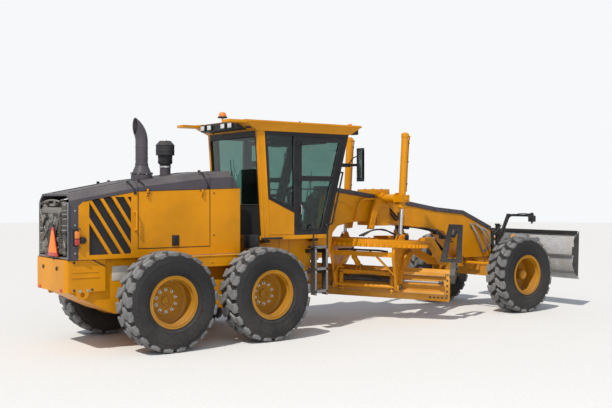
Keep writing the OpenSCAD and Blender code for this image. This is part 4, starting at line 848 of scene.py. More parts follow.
def make_rear_grille():
    """Cooler core, canisters, pulleys and hoses that show in the open rear."""
    g = Piece("dusty_steel", "cooler_grey", "rubber_hose", "frame_steel")
    # Fins and tanks of the core
    for k in range(24):
        y = -320 + k * 27
        g.add(block((-1993, y, 1372), (-1979, y + 7, 1850), 0), "cooler_grey")
    for k in range(16):
        g.add(block((-1996, -326, 1376 + k * 30), (-1986, 326, 1382 + k * 30), 0), "cooler_grey")
    g.add(block((-2004, -345, 1310), (-1940, 345, 1374), 16), "cooler_grey")
    g.add(block((-2010, -345, 1846), (-1940, 345, 1930), 22))
    # Canisters down both sides, as [y, low, high, radius]
    for y, low, high, r in ((-408, 1800, 1962, 60), (-412, 1590, 1776, 64), (-420, 1300, 1560, 52),
                            (425, 1600, 1890, 66), (432, 1290, 1570, 62), (318, 1900, 1990, 40)):
        g.add(rod((-1948, y, low), (-1948, y, high), r, 9, 28), "cooler_grey")
        g.add(rod((-1948, y, high - 3), (-1948, y, high + 14), r * 0.9, 6, 28))
        g.add(rod((-1948, y, high + 12), (-1948, y, high + 34), r * 0.35, 3, 18), "frame_steel")
        for z in (low + 30, (low + high) / 2):
            g.add(lathe([(r - 1, 0), (r + 5, 2), (r + 5, 14), (r - 1, 16)], move(-1948, y, z), 28))
    # Pulleys and flanges
    for y, z, r in ((30, 1806, 88), (-130, 1742, 60), (170, 1700, 52), (-60, 1560, 70), (200, 1450, 58),
                    (-250, 1880, 44)):
        place = frame_of(at(-1992, y, z), -X)
        g.add(lathe([(0, 0), (r, 0), (r, 10), (r * 0.8, 12), (r * 0.75, 4), (r * 0.4, 6), (r * 0.35, 20),
                     (0, 20)], place, 28))
        for u, v in around(5, r * 0.6):
            g.add(bolt((-1998, y + u, z + v), -X, 7, 6), "frame_steel")
    # Brackets, struts and boxes
    for y, z, w, h in ((-300, 1700, 60, 190), (290, 1790, 90, 70), (110, 1890, 110, 40), (-190, 1500, 80, 60),
                       (300, 1400, 70, 110), (-480, 1480, 40, 150), (-20, 1960, 150, 30)):
        g.add(block((-2008, y - w / 2, z - h / 2), (-1968, y + w / 2, z + h / 2), 8),
              "dusty_steel" if w > 60 else "cooler_grey")
    for p, q in (((410, 1880), (200, 1610)), ((-330, 1880), (-190, 1640)), ((120, 1640), (340, 1480)),
                 ((-460, 1490), (-505, 1400)), ((-260, 1400), (-80, 1330))):
        g.add(rod((-2006, *p), (-2006, *q), 12, 2, 12))
    for y, z in ((330, 1990), (-215, 2010), (60, 1985)):
        g.add(rod((-1930, y, z - 50), (-1930, y, z), 32, 5, 20))
        g.add(rod((-1930, y, z - 2), (-1930, y, z + 26), 22, 4, 16), "frame_steel")
    # Hoses
    for points in ([(-1950, -408, 1996), (-1990, -340, 2012), (-1990, -250, 1984), (-1975, -215, 1960)],
                   [(-1950, 425, 1920), (-1990, 380, 1990), (-1990, 340, 1960), (-1960, 318, 1930)],
                   [(-1955, -486, 1262), (-1990, -488, 1400), (-1990, -478, 1560), (-1950, -446, 1640)],
                   [(-2006, 60, 1800), (-2016, 170, 1780), (-2014, 250, 1680), (-2000, 200, 1560),
                    (-2000, 90, 1450)],
                   [(-2006, -130, 1700), (-2016, -190, 1620), (-2014, -160, 1500), (-2000, -60, 1400),
                    (-2000, 60, 1370)],
                   [(-1990, -300, 1330), (-2006, -200, 1286), (-2006, 120, 1282), (-1990, 300, 1332)]):
        g.add(pipe(points, 14, 10), "rubber_hose")
    # Frame round the opening
    for s in (-1, 1):
        g.add(block((-1984, s * 522 - 7, 1262), (-1956, s * 522 + 7, 2000), 4), "frame_steel")
    g.add(block((-1990, -526, 1246), (-1950, 526, 1276), 6), "frame_steel")
    g.add(pipe([(-1972, -500, 1972), (-1990, -160, 2020), (-1990, 160, 2020), (-1972, 500, 1972)], 12, 10))
    return g.done("rear_cooler", "rear_chassis", "cooler_grey")


def make_bumper_trim():
    b = Piece("yellow_paint", "black_parts", "bolt_steel", "sign_red", "sign_orange", "plate_white")
    for s in (-1, 1):
        # Pressed lips of the foothold in the bumper's side
        for z, r in ((1006, 8), (1076, 6)):
            b.add(bar([(-1930, s * (BUMPER_SIDE + 1), z), (-1555, s * (BUMPER_SIDE + 1), z)], r))
        for x, z in ((-1899, 1206), (-1899, 842), (-1651, 842)):
            b.add(bolt((x, s * BUMPER_SIDE, z), Y * s, 12, 8), "black_parts")
        for x in (-1818, -1707):
            b.add(bolt((x, s * BUMPER_SIDE, 828), Y * s, 15, 10), "bolt_steel")
        for x in (-1380, -1180, -980, -260, 120, 420):
            b.add(bolt((x, s * FRAME_SIDE, 1205), Y * s, 12, 9))
        # Blank pale plate on the frame
        b.add(block((-1352, s * FRAME_SIDE, 936), (-1106, s * (FRAME_SIDE + 3), 1136), 1), "plate_white")
        for x in (-1340, -1118):
            b.add(bolt((x, s * (FRAME_SIDE + 3), 1124), Y * s, 5, 3), "bolt_steel")
        # Reflectors
        b.add(block((-2027, s * 390 - 45, 815), (-2019, s * 390 + 45, 860), 3), "sign_red")
        b.add(rod((-2020, s * 250, 1120), (-2034, s * 250, 1120), 26), "black_parts")
        # Seam under the hood
        b.add(bar([(-1990, s * (BUMPER_SIDE + 1), 1240), (-1651, s * (BUMPER_SIDE + 1), 1240),
                   (-1468, s * (BUMPER_SIDE + 1), 1147)], 8, 6), "black_parts")
        # Vertical joints of the frame
        for x in (-1459, 460):
            b.add(bar([(x, s * (FRAME_SIDE + 1), 830), (x, s * (FRAME_SIDE + 1), 1236)], 4, 6), "black_parts")
        # Platform plate beside the hood, with grip strips
        b.add(block((-452, s * (FRAME_SIDE + 3), 1240), (542, s * 778, 1247), 2))
        for k in range(24):
            x = -430 + k * 41
            b.add(block((x, s * 520, 1246), (x + 14, s * 760, 1251), 1), "bolt_steel")
        b.add(bar([(-450, s * 777, 1235), (541, s * 777, 1235)], 8))
        for x in (-380, 40, 470):
            b.add(bolt((x, s * 775, 1150), Y * s, 12, 9))
    # Slow vehicle triangle on its post
    for size, finish, lift in ((1.0, "sign_red", 0), (0.76, "sign_orange", 4)):
        w, low = 190 * size, 1475 - 195 * size
        corner = [(-140 - w, low), (-140 + w, low), (-140 + 0.16 * w, low + 385 * size),
                  (-140 - 0.16 * w, low + 385 * size)]
        b.add(plate(corner, "x", -2040 - lift, -2036 - lift, 1), finish)
    b.add(block((-2036, -160, 1236), (-2022, -120, 1700), 3), "black_parts")
    return b.done("bumper_trim", "rear_chassis", "yellow_paint")


def make_rear_lamps():
    lamps = Piece("black_parts", "red_lamp", "amber_lamp")
    y = -570
    lamps.add(block((-1925, y - 34, 1425), (-1845, y + 1, 1635), 12))
    lamps.add(block((-1917, y - 58, 1436), (-1853, y - 30, 1520), 10), "red_lamp")
    lamps.add(block((-1917, y - 58, 1524), (-1853, y - 30, 1624), 10), "amber_lamp")
    for foot, z in ((1400, 1405), (1655, 1652)):
        lamps.add(pipe([(-1950, y - 20, foot), (-1900, y - 62, z), (-1850, y - 62, z), (-1835, y - 8, z)], 7))
    lamps.add(rod((-1800, y + 2, 1500), (-1800, y - 40, 1500), 46, 6, 24))
    lamps.add(rod((-1800, y - 39, 1500), (-1800, y - 44, 1500), 36, 2, 24))
    lamps.mirror()
    return lamps.done("rear_lamp_units", "rear_chassis", "red_lamp", "rear_lamps")


def make_stacks():
    top = Piece("bolt_steel", "dark_cover", "black_parts", "moulded_black")
    x, y = EXHAUST
    # Flange, clamp and bolts at the foot of the exhaust
    for z, r in ((2386, 150), (2512, 86)):
        top.add(lathe([(r - 1, 0), (r + 7, 4), (r + 7, 24), (r - 1, 28)], move(x, y, z), 40), "dark_cover")
    for u, v in around(8, 152):
        top.add(bolt((x + u, y + v, 2384), Z, 8, 6))
    for z in (2600, 2760):
        top.add(lathe([(85, 0), (89, 3), (89, 15), (85, 18)], move(x, y, z), 36), "dark_cover")
    # Ring round each pipe where it passes through the hood
    for px, py, r in ((*EXHAUST, 152), (*INTAKE, 82)):
        z = on_line(HOOD_TOP, px)
        top.add(lathe([(r, -14), (r + 22, -10), (r + 18, 8), (r, 12)], move(px, py, z)
                      @ Matrix.Rotation(-0.128, 4, "Y"), 40), "black_parts")
    # Pre-cleaner of the air intake: black shell, vanes, bands and knob
    cx, cy = INTAKE
    shell = [(0, 2500), (82, 2500), (82, 2556), (94, 2556), (107, 2688), (137, 2688), (137, 2841), (82, 2901),
             (0, 2902)]
    top.add(lathe(shell, move(cx, cy, 0), 48), "moulded_black")
    for k in range(20):
        a = k * math.pi / 10
        foot = move(cx + 98 * math.cos(a), cy + 100 * math.sin(a), 2625)
        vane = foot @ Matrix.Rotation(a, 4, "Z") @ Matrix.Rotation(0.5, 4, "X")
        top.add(slab((14, 5, 124), vane, 1), "black_parts")
    for z, r in ((2558, 94), (2684, 106), (2744, 136), (2826, 136)):
        top.add(lathe([(r - 2, 0), (r + 5, 3), (r + 5, 11), (r - 2, 14)], move(cx, cy, z), 40), "black_parts")
    top.add(lathe([(0, 0), (20, 0), (24, 6), (16, 22), (0, 24)], move(cx, cy, 2897), 24))
    top.add(lathe([(79, 0), (86, 4), (86, 26), (79, 30)], move(cx, cy, 2500), 32))
    return top.done("stack_trim", "rear_chassis", "dark_cover")


# Cab

CAB_SIDE, CAB_FLOOR, CAB_TALL = 720, 1490, 1560


def post_x(z):
    """X of the cab's raked rear face at a height."""
    return 945 - 100 * (z - CAB_FLOOR) / CAB_TALL


def screen_x(z):
    """X of the windscreen at a height."""
    return 2150 + 420 * (z - CAB_FLOOR) / CAB_TALL


SIDE_WINDOW = ((post_x(2080) + 165, 2070), (1510, 1892), (1510, 2990), (post_x(2990) + 165, 2990))
DOOR_PANES = (((1646, 1570), (screen_x(1570) - 145, 1570), (screen_x(2315) - 145, 2315), (1646, 2315)),
              ((1646, 2385), (screen_x(2385) - 145, 2385), (screen_x(2920) - 145, 2920), (1646, 2920)))


def loop_seal(points, y, r=9):
    """A rubber seal round a window in the plane of y."""
    ring = [(x, y, z) for x, z in points]
    return bar(ring + [ring[0], ring[1]], r)


def make_cab_trim():
    cab = Piece("black_parts", "yellow_paint", "moulded_black", "rubber_hose")
    for s in (-1, 1):
        y = s * CAB_SIDE
        cab.add(loop_seal(SIDE_WINDOW, y), "moulded_black")
        # Edge of the yellow panel under the side window
        cab.add(bar([(post_x(2040) + 128, s * (CAB_SIDE + 1), 2046), (1506, s * (CAB_SIDE + 1), 1836)], 7))
        # Dark skirt behind the cab
        cab.add(block((876, s * 300, 1300), (938, s * 640, 1500), 12), "moulded_black")
        # Bar under the floor's edge
        cab.add(pipe([(930, s * 700, 1452), (950, s * 738, 1452), (1250, s * 738, 1452),
                      (1270, s * 700, 1452)], 15, 10))
        # Raised rim of the lower panel
        cab.add(bar([(1082, y, 1512), (1500, y, 1512)], 6), "yellow_paint")
        for foot, off in ((960, 8), (1062, 117)):
            cab.add(bar([(foot, y, 1497), (post_x(3040) + off, y, 3040)], 9), "yellow_paint")
        # Rail up the front post
        rail = [(screen_x(1640) - 30, y, 1640), (screen_x(1650) - 10, s * 775, 1655),
                (screen_x(1720) - 8, s * 785, 1720), (screen_x(2380) - 8, s * 785, 2380),
                (screen_x(2440) - 10, s * 775, 2445), (screen_x(2450) - 30, y, 2460)]
        cab.add(pipe(rail, 14, 12))
        # Work lamps under the roof's front and rear edges
        for x, low in ((2700, 3060), (760, 3085)):
            cab.add(block((x - 45, s * 640 - 62, low), (x + 45, s * 640 + 62, 3150), 14))
        # Rubber mounts below the floor
        for x in (1050, 1950):
            cab.add(lathe([(0, 0), (46, 0), (58, 12), (58, 34), (46, 46), (0, 46)], move(x, s * 640, 1384),
                          28), "rubber_hose")
            cab.add(block((x - 60, s * 548, 1370), (x + 60, s * 700, 1386), 3), "yellow_paint")
    # Seals of the rear window and the windscreen
    for low, high, line, off in ((1950, 2960, post_x, -2), (1580, 2970, screen_x, 2)):
        pts = [(line(low) + off, -655, low), (line(low) + off, 655, low), (line(high) + off, 655, high),
               (line(high) + off, -655, high)]
        cab.add(bar(pts + [pts[0], pts[1]], 9), "moulded_black")
    # Wipers
    for line, low, high, out in ((post_x, 2010, 2520, -16), (screen_x, 1640, 2380, 16)):
        middle = (low + high) / 2
        cab.add(pipe([(line(low) + out, -90, low), (line(middle) + out * 1.4, -40, middle),
                      (line(high) + out, 60, high)], 7))
        cab.add(bar([(line(high - 330) + out * 0.6, 52, high - 330),
                     (line(high + 120) + out * 0.6, 70, high + 120)], 6, 6), "rubber_hose")
        cab.add(rod((line(low) + out * 0.2, -90, low), (line(low) + out * 1.5, -90, low), 22))
    # Middle bar of the rear window
    cab.add(block((post_x(2500) - 6, -20, 1952), (post_x(2500) + 30, 20, 1990), 3))
    return cab.done("cab_trim", "front_chassis", "black_parts")


def add_work_lamp(roof, back, front, y, z, proud):
    """A lamp between two X, with its lens standing proud of the front."""
    way = 1 if front > back else -1
    roof.add(block((back, y - 62, z), (front, y + 62, z + 86), 12), "black_parts")
    lens = block((front - way * 2, y - 52, z + 10), (front + way * proud, y + 52, z + 76), 8)
    roof.add(lens, "clear_lamp")


def make_roof_trim():
    roof = Piece("yellow_paint", "black_parts", "clear_lamp", "moulded_black")
    # Raised panel and beads of the roof
    roof.add(plate(((760, -640), (2560, -640), (2620, -560), (2620, 560), (2560, 640), (760, 640), (720, 600),
                    (720, -600)), "z", 3199, 3214, 6))
    for y in (-380, 0, 380):
        roof.add(bar([(860, y, 3213), (2480, y, 3213)], 12))
    # Gutter round the roof's edge
    roof.add(bar([(625, -782, 3178), (2784, -782, 3178), (2784, 782, 3178), (625, 782, 3178)], 9))
    # Dark bay between the horns, with its lamps
    roof.add(block((596, -516, 3075), (826, 516, 3190), 6), "moulded_black")
    for y in (-400, -200, 200, 400):
        add_work_lamp(roof, 598, 560, y, 3086, 7)
    for s in (-1, 1):
        roof.add(block((322, s * 680 - 92, 3162), (612, s * 680 + 92, 3176), 5))
        # Lamps of the front edge
        for y in (300, 640):
            add_work_lamp(roof, 2744, 2790, s * y, 3062, 5)
        roof.add(block((746, s * 640 - 50, 3092), (752, s * 640 + 50, 3144), 6), "clear_lamp")
    # Aerial
    roof.add(bar([(1700, -600, 3200), (1700, -600, 3230)], 12), "black_parts")
    # Head lining
    roof.add(block((930, -655, 3030), (2480, 655, 3048), 4), "moulded_black")
    return roof.done("roof_trim", "front_chassis", "yellow_paint")


def make_beacon():
    """Turning lamp on its bracket, and the small amber marker at the front."""
    b = Piece("black_parts", "amber_lamp", "bolt_steel")
    x, y = 980, 500
    b.add(rod((x, y, 3200), (x, y, 3322), 15), "bolt_steel")
    b.add(lathe([(0, 0), (30, 0), (36, 8), (0, 8)], move(x, y, 3199), 24))
    b.add(lathe([(0, 0), (66, 0), (78, 6), (80, 18), (72, 26), (0, 26)], move(x, y, 3320), 36))
    b.add(lathe([(0, 0), (62, 0), (61, 20), (56, 46), (44, 62), (24, 70), (0, 72)], move(x, y, 3346), 36),
          "amber_lamp")
    b.add(lathe([(0, 0), (34, 0), (38, 10), (30, 34), (0, 42)], move(2660, -640, 3199), 28), "amber_lamp")
    return b.done("beacon", "front_chassis", "amber_lamp", "roof_lamps")


def make_cab_door_trim(short, word, s):
    d = Piece("black_parts", "moulded_black", "bolt_steel")
    for pane in DOOR_PANES:
        d.add(loop_seal(pane, s * CAB_SIDE, 8), "moulded_black")
    # Handle and lock
    d.add(block((1606, s * 718, 1790), (1640, s * 728, 1960), 6))
    d.add(pipe([(1622, s * 724, 1810), (1622, s * 756, 1822), (1622, s * 758, 1930), (1622, s * 724, 1944)],
               8), "bolt_steel")
    # Grab bar inside the lower pane
    d.add(pipe([(1648, s * 662, 2180), (1700, s * 640, 2190), (2100, s * 640, 2190),
                (screen_x(2180) - 150, s * 662, 2180)], 10))
    for z in (1640, 2300, 2860):
        for dx in (24, 48):
            d.add(bolt((1583 + dx, s * 722, z + 36), Y * s, 6, 5), "bolt_steel")
    return d.done(f"cab_door_trim_{short}", f"cab_door_{word}", "black_parts")


def make_cab_inside():
    c = Piece("moulded_black", "black_parts", "bolt_steel", "rubber_hose")
    # Floor mat, side consoles with levers, dash and pedals
    c.add(block((1000, -655, 1489), (2130, 655, 1502), 3), "rubber_hose")
    for s in (-1, 1):
        c.add(block((1260, s * 330 - 70, 1500), (1760, s * 330 + 70, 1940), 24))
        c.add(block((1500, s * 330 - 62, 1936), (1760, s * 330 + 62, 1972), 16))
        c.add(block((1240, s * 300 - 45, 2060), (1560, s * 300 + 45, 2110), 18), "rubber_hose")
        c.add(rod((1300, s * 300, 1936), (1300, s * 300, 2064), 20), "bolt_steel")
        for k in range(4):
            x, y = 1560 + k * 52, s * (310 + 14 * (k % 2))
            c.add(pipe([(x, y, 1968), (x + 6, y, 2040), (x + 16, y, 2100)], 5), "bolt_steel")
            c.add(lathe([(0, 0), (11, 0), (16, 16), (13, 34), (0, 40)], move(x + 16, y, 2094), 16),
                  "black_parts")
        c.add(block((2060, s * 190 - 45, 1560), (2085, s * 190 + 45, 1680), 6), "black_parts")
    c.add(block((1990, -230, 1880), (2110, 230, 1990), 26))
    for y in (-130, -45, 45, 130):
        c.add(lathe([(0, 0), (34, 0), (38, 4), (34, 8), (0, 8)], frame_of(at(1988, y, 1945), -X), 24),
              "bolt_steel")
    # Rim and boss of the steering wheel
    column = move(2020, 0, 1870) @ Matrix.Rotation(math.radians(-25), 4, "Y")
    c.add(lathe([(186 + 17 * math.cos(a * math.pi / 5), 315 + 17 * math.sin(a * math.pi / 5))
                 for a in range(10)], column, 48))
    c.add(lathe([(0, 300), (52, 300), (58, 312), (46, 336), (0, 342)], column, 32))
    c.add(lathe([(0, 30), (52, 30), (60, 60), (54, 220), (0, 224)], column, 24))
    # Fan and radio bar under the lining
    c.add(block((1980, -640, 2900), (2200, 640, 3010), 20))
    return c.done("cab_inside", "front_chassis", "black_parts")


def cushion(name, low, high, push):
    """A padded cushion between two corners, swelled as cloth."""
    bm = block(low, high, 34)
    mesh = bpy.data.meshes.new(name)
    bm.to_mesh(mesh)
    bm.free()
    pad = link_new(name, mesh)
    remesh = pad.modifiers.new("voxels", "REMESH")
    remesh.mode, remesh.voxel_size = "VOXEL", 0.012
    settle(pad)
    before = [v.co.copy() for v in pad.data.vertices]
    cloth = pad.modifiers.new("cloth", "CLOTH")
    cloth.settings.use_pressure, cloth.settings.uniform_pressure_force = True, 4.0
    cloth.settings.effector_weights.gravity = 0
    cloth.settings.quality = 5
    scene = bpy.context.scene
    for f in range(1, 21):
        scene.frame_set(f)
    settle(pad)
    scene.frame_set(1)
    for v, old in zip(pad.data.vertices, before):
        shift = v.co - old
        v.co = old + shift * min(1.0, push / max(shift.length, 1e-9))
    # Sewn channels across the pad
    bm = bmesh.new()
    bm.from_mesh(pad.data)
    lo, size = at(*low), at(*high) - at(*low)
    along, across = (2, 0) if size.z > size.x else (0, 2)
    for v in bm.verts:
        groove = sum(math.exp(-((v.co[along] - lo[along] - k * size[along]) / 0.010) ** 2)
                     for k in (0.25, 0.5, 0.75))
        if v.normal[across] > 0.5:
            v.co -= v.normal * 0.012 * min(groove, 1)
    bmesh.ops.smooth_vert(bm, verts=bm.verts, factor=0.3, use_axis_x=True, use_axis_y=True, use_axis_z=True)
    bm.to_mesh(pad.data)
    bm.free()
    sub = pad.modifiers.new("smooth", "SUBSURF")
    sub.levels = sub.render_levels = 1
    pad.data.materials.clear()
    pad.data.materials.append(finish_named("seat_cloth"))
    pad.data.shade_smooth()
    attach(pad, "front_chassis")
    return pad


def settle(piece):
    """Applies the piece's modifiers to its mesh."""
    shape = bpy.data.meshes.new_from_object(piece.evaluated_get(bpy.context.evaluated_depsgraph_get()))
    piece.modifiers.clear()
    piece.data = shape


def make_seat():
    base = cushion("seat_cushion", (1250, -232, 1905), (1715, 232, 2000), 0.016)
    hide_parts("seat")
    cushion("seat_back", (1185, -232, 2000), (1275, 232, 2480), 0.014)
    cushion("seat_headrest", (1178, -130, 2520), (1262, 130, 2630), 0.012)
    f = Piece("black_parts", "moulded_black", "rubber_hose")
    f.add(block((1340, -170, 1500), (1520, 170, 1560), 10))
    for k in range(6):
        f.add(block((1350 + 4 * (k % 2), -160, 1562 + k * 42), (1510 - 4 * (k % 2), 160, 1598 + k * 42), 10),
              "rubber_hose")
    f.add(block((1235, -240, 1815), (1720, 240, 1890), 18), "moulded_black")
    f.add(block((1160, -225, 1880), (1182, 225, 2500), 8), "moulded_black")
    for y in (-60, 60):
        f.add(rod((1200, y, 2470), (1215, y, 2540), 7))
    f.done("seat_frame", "front_chassis", "black_parts")


# Steps and mirrors

def make_steps():
    s = Piece("black_parts", "frame_steel", "bolt_steel")
    for z in (600, 945, 1280):
        for k in range(12):
            x = 1852 + k * 20
            s.add(block((x, -792, z + 24), (x + 6, -618, z + 36), 1), "frame_steel")
        s.add(block((1843, -806, z - 4), (2092, -798, z + 34), 2), "frame_steel")
    for x in (1845, 2060):
        s.add(block((x - 2, -806, 556), (x + 32, -796, 1306), 3), "frame_steel")
        for z in (890, 1210):
            s.add(bolt((x + 15, -806, z + 20), -Y, 10, 8), "bolt_steel")
    # Seams and filler of the tank
    for x in (1346, 1533):
        s.add(bar([(x, -550.5, 1088), (x, -550.5, 1425)], 3.5, 6))
    s.add(lathe([(0, 0), (30, 0), (32, 3), (24, 8), (0, 5)], frame_of(at(1894, -549, 900), -Y), 24))
    # Rails above the steps
    for x in (1835, 2100):
        s.add(pipe([(x, -700, 1262), (x, -770, 1300), (x, -776, 1380), (x, -776, 1560), (x, -768, 1620),
                    (x, -722, 1640)], 13, 12))
    s.mirror()
    return s.done("step_trim", "front_chassis", "black_parts")


def make_mirrors():
    m = Piece("black_parts", "moulded_black", "mirror_glass")
    m.add(plate(((-1062, 2330), (-1070, 2350), (-1070, 2790), (-1062, 2822), (-1040, 2830), (-960, 2830),
                 (-938, 2822), (-930, 2790), (-930, 2350), (-938, 2322), (-960, 2312), (-1040, 2312)), "x",
                2556, 2606, 8), "moulded_black")
    m.add(plate(((-1058, 2360), (-1058, 2800), (-942, 2800), (-942, 2360)), "x", 2551, 2557, 1),
          "mirror_glass")
    m.add(block((2563, -930, 2556), (2598, -705, 2584), 8))
    m.add(pipe([(2580, -935, 2700), (2580, -840, 2690), (2572, -760, 2620), (2570, -722, 2590)], 9))
    m.mirror()
    return m.done("mirror_heads", "front_chassis", "black_parts")


# Neck, saddle and lift cylinders

NOSE_HOSES = (((5900, -201.5, 1560), (5960, -330, 1400), (6080, -330, 1080), (6200, -201.5, 1050)),
              ((6010, -201.5, 1560), (6180, -340, 1480), (6200, -340, 1120), (6280, -201.5, 1060)),
              ((6120, -201.5, 1500), (6300, -340, 1480), (6340, -330, 1180), (6360, -201.5, 1090)))
NECK_SIDE, TRUNNION_X, TRUNNION_Z, AXLE_X = 189, 3700, 2040, 6280
ARM_PIN_X, ARM_SIDE = 6560, 190
# In the circle's frame: pin, eye and slope of the tip cylinder, shift cylinder, and the blade's ends
TILT_PIN, TIP_EYE, TIP_SLOPE = (-360, -700), (-310, 150, -370), math.radians(23.6)
SHIFT_X, SHIFT_Z, BLADE_RIGHT, BLADE_LEFT = -290, -590, -1370, 1680
NECK_TOP = ((2560, 2170), (3240, 2080), (4100, 1955), (5000, 1810), (5700, 1745), (6450, 1440))
ARM_EDGE = ((700, -88), (240, -116), (40, -150), (-90, -200), (-190, -275), (-262, -370), (-330, -470),
            (-359, -560), (-359, -640))
DRAWBAR = move(5640, 0, 870) @ Matrix.Rotation(math.radians(3), 4, "Y")
RING = DRAWBAR @ Matrix.Translation((-1.975, 0, 0.290))
CIRCLE = RING @ Matrix.Rotation(math.radians(36.6), 4, "Z")
HOME = Matrix.Translation(-at(0, 0, 0))


def bezier(a, b, c, d, n=14):
    """Points on the curve from a to d that b and c pull."""
    a, b, c, d = (Vector(p) for p in (a, b, c, d))
    return [a * (1 - t) ** 3 + 3 * b * t * (1 - t) ** 2 + 3 * c * t * t * (1 - t) + d * t ** 3
            for t in (k / n for k in range(n + 1))]


def make_neck_trim():
    n = Piece("yellow_paint", "black_parts", "rubber_hose", "hose_grey")
    for s in (-1, 1):
        # Seam and screws of the dark cover
        n.add(bar([(x, s * 200, z + 4) for x, z in NECK_TOP], 4, 6), "black_parts")
        for x in (2750, 3150, 4150, 4550, 4950, 5350, 5680, 6050, 6350):
            n.add(bolt((x, s * 200, on_line(NECK_TOP, x) + 38), Y * s, 9, 7), "black_parts")
        # Raised panel behind the saddle, with its screws
        panel = ((2690, 1640), (2760, 1600), (3020, 1650), (3080, 1720), (3060, 1900), (2960, 1960),
                 (2740, 1990), (2690, 1950))
        n.add(plate(panel, "y", s * NECK_SIDE, s * 204, 6))
        for x, z in ((2725, 1670), (2730, 1945), (2950, 1925), (3035, 1870), (3045, 1735), (2990, 1675)):
            n.add(bolt((x, s * 204, z), Y * s, 8, 6))
        # Bent pipe up to the saddle
        n.add(pipe([(3120, s * 212, 1700), (3130, s * 236, 1760), (3150, s * 244, 1880),
                    (3210, s * 246, 1985), (3330, s * 246, 2030), (3540, s * 246, 2032)], 17, 12))
        n.add(rod((3118, s * NECK_SIDE, 1694), (3118, s * 226, 1694), 24))
        # Weld beads of the arch and the lower seam
        n.add(bar([(5180, s * (NECK_SIDE + 2), 1462), (4600, s * (NECK_SIDE + 2), 1542),
                   (4140, s * (NECK_SIDE + 2), 1588), (3900, s * (NECK_SIDE + 2), 1618)], 6, 6))
        n.add(bar([(6438, s * (NECK_SIDE + 2), 960), (6438, s * (NECK_SIDE + 2), 1400)], 6, 6))
        # Accumulator with its clamp and ports
        n.add(lathe([(0, 0), (30, 0), (52, 14), (58, 40), (58, 120), (50, 146), (26, 160), (0, 160)],
                    frame_of(at(5360, s * 250, 1345), Vector((0.55, 0, 0.83))), 28), "black_parts")
        n.add(block((5380, s * NECK_SIDE, 1370), (5420, s * 246, 1440), 4), "black_parts")
        n.add(pipe([(5352, s * 250, 1338), (5320, s * 252, 1290), (5350, s * 240, 1250),
                    (5420, s * 215, 1262)], 12), "rubber_hose")
        # Hose clamps down the front leg
        for x, z in ((5930, 1500), (6230, 1070), (6330, 1180)):
            n.add(block((x - 22, s * NECK_SIDE, z - 16), (x + 22, s * 214, z + 16), 3), "black_parts")
            n.add(bolt((x, s * 214, z), Y * s, 7, 5))
    # Grey sleeves over the hoses of the nose, with their end fittings
    for hose in NOSE_HOSES:
        n.add(bar(bezier(*hose), 17, 12), "hose_grey")
        for end in (hose[0], hose[3]):
            n.add(rod((end[0], -189, end[2]), (end[0], -226, end[2]), 24, 3, 6), "hose_grey")
    # Cap over the front end
    n.add(plate(((-150, 985), (150, 985), (150, 1392), (110, 1430), (-110, 1430), (-150, 1392)), "x", 6449,
                6450.2, 0))
    return n.done("neck_trim", "front_chassis", "yellow_paint")


def make_saddle_trim():
    s = Piece("yellow_paint")
    # Flanges and bolts of the round arms
    s.add(lathe([(76, 0), (96, 0), (100, 4), (96, 22), (76, 22)],
                frame_of(at(TRUNNION_X, -600, TRUNNION_Z), -Y), 40))
    for u, v in around(8, 84):
        s.add(bolt((TRUNNION_X + u, -336, TRUNNION_Z + v), -Y, 9, 8))
    # Bolts of the saddle's side and its lifting eye
    for x in (3590, 3810):
        for z in (1650, 1760, 2150):
            s.add(bolt((x, -260, z), -Y, 13, 10))
    # Trunnion caps
    for x in (TRUNNION_X - 58, TRUNNION_X + 58):
        for z in (1990, 2090):
            s.add(bolt((x, -816.5, z), -Y, 9, 8))
    s.add(lathe([(0, 0), (34, 0), (38, 4), (34, 14), (0, 16)],
                frame_of(at(TRUNNION_X, -816.5, TRUNNION_Z), -Y), 28))
    # Edge of the leg, and the pin block at its foot
    s.add(bar([(3680, -321, 2060), (3590, -321, 2046), (3500, -321, 1986), (3440, -321, 1870),
               (3400, -321, 1730), (3350, -321, 1545)], 9))
    s.add(rod((3392, -258, 1560), (3392, -332, 1560), 34, 4))
    s.add(rod((3392, -330, 1560), (3392, -342, 1560), 20, 3))
    s.mirror()
    for x in (3600, 3800):
        for y in (-100, 100):
            s.add(bolt((x, y, 2200), Z, 14, 10))
    return s.done("saddle_trim", "front_chassis", "yellow_paint")


def make_lift_trim():
    """Heads, glands, ports and pressure pipes of the lift cylinders."""
    c = Piece("yellow_paint", "black_parts")
    lean = math.atan2(40, 620)
    place = move(TRUNNION_X, -730, TRUNNION_Z) @ Matrix.Rotation(lean, 4, "Y")
    for low, high, r in ((-152, -108, 64), (-60, 60, 63), (1018, 1082, 64)):
        c.add(lathe(collar(57, r, low, high), place, 40))
    c.add(lathe([(33.2, -168), (46, -168), (50, -160), (50, -150), (33.2, -150)], place, 32))
    c.add(lathe([(0, 1078), (40, 1078), (40, 1092), (30, 1100), (0, 1100)], place, 32))
    # Ports and the pipe along the barrel
    for z in (-128, 1040):
        c.add(slab((44, 36, 36), place @ Matrix.Translation((0.074, 0, z / 1000)), 5))
        c.add(lathe([(0, 0), (15, 0), (15, 18), (0, 18)], place @ Matrix.Translation((0.094, 0, z / 1000))
                    @ Matrix.Rotation(math.pi / 2, 4, "Y"), 6))
    bends = ((0.092, 1.04), (0.1, 1.0), (0.09, 0.94), (0.086, 0.5), (0.086, 0.12))
    c.add(pipe([(place @ Vector((x, 0, z)) - at(0, 0, 0)) * 1000 for x, z in bends], 11))
    for z in (0.25, 0.62, 0.93):
        c.add(slab((60, 26, 22), place @ Matrix.Translation((0.07, 0, z)), 3), "black_parts")
    c.mirror()
    return c.done("lift_cylinder_trim", "lift_cylinders", "yellow_paint")


# Drawbar, circle and blade

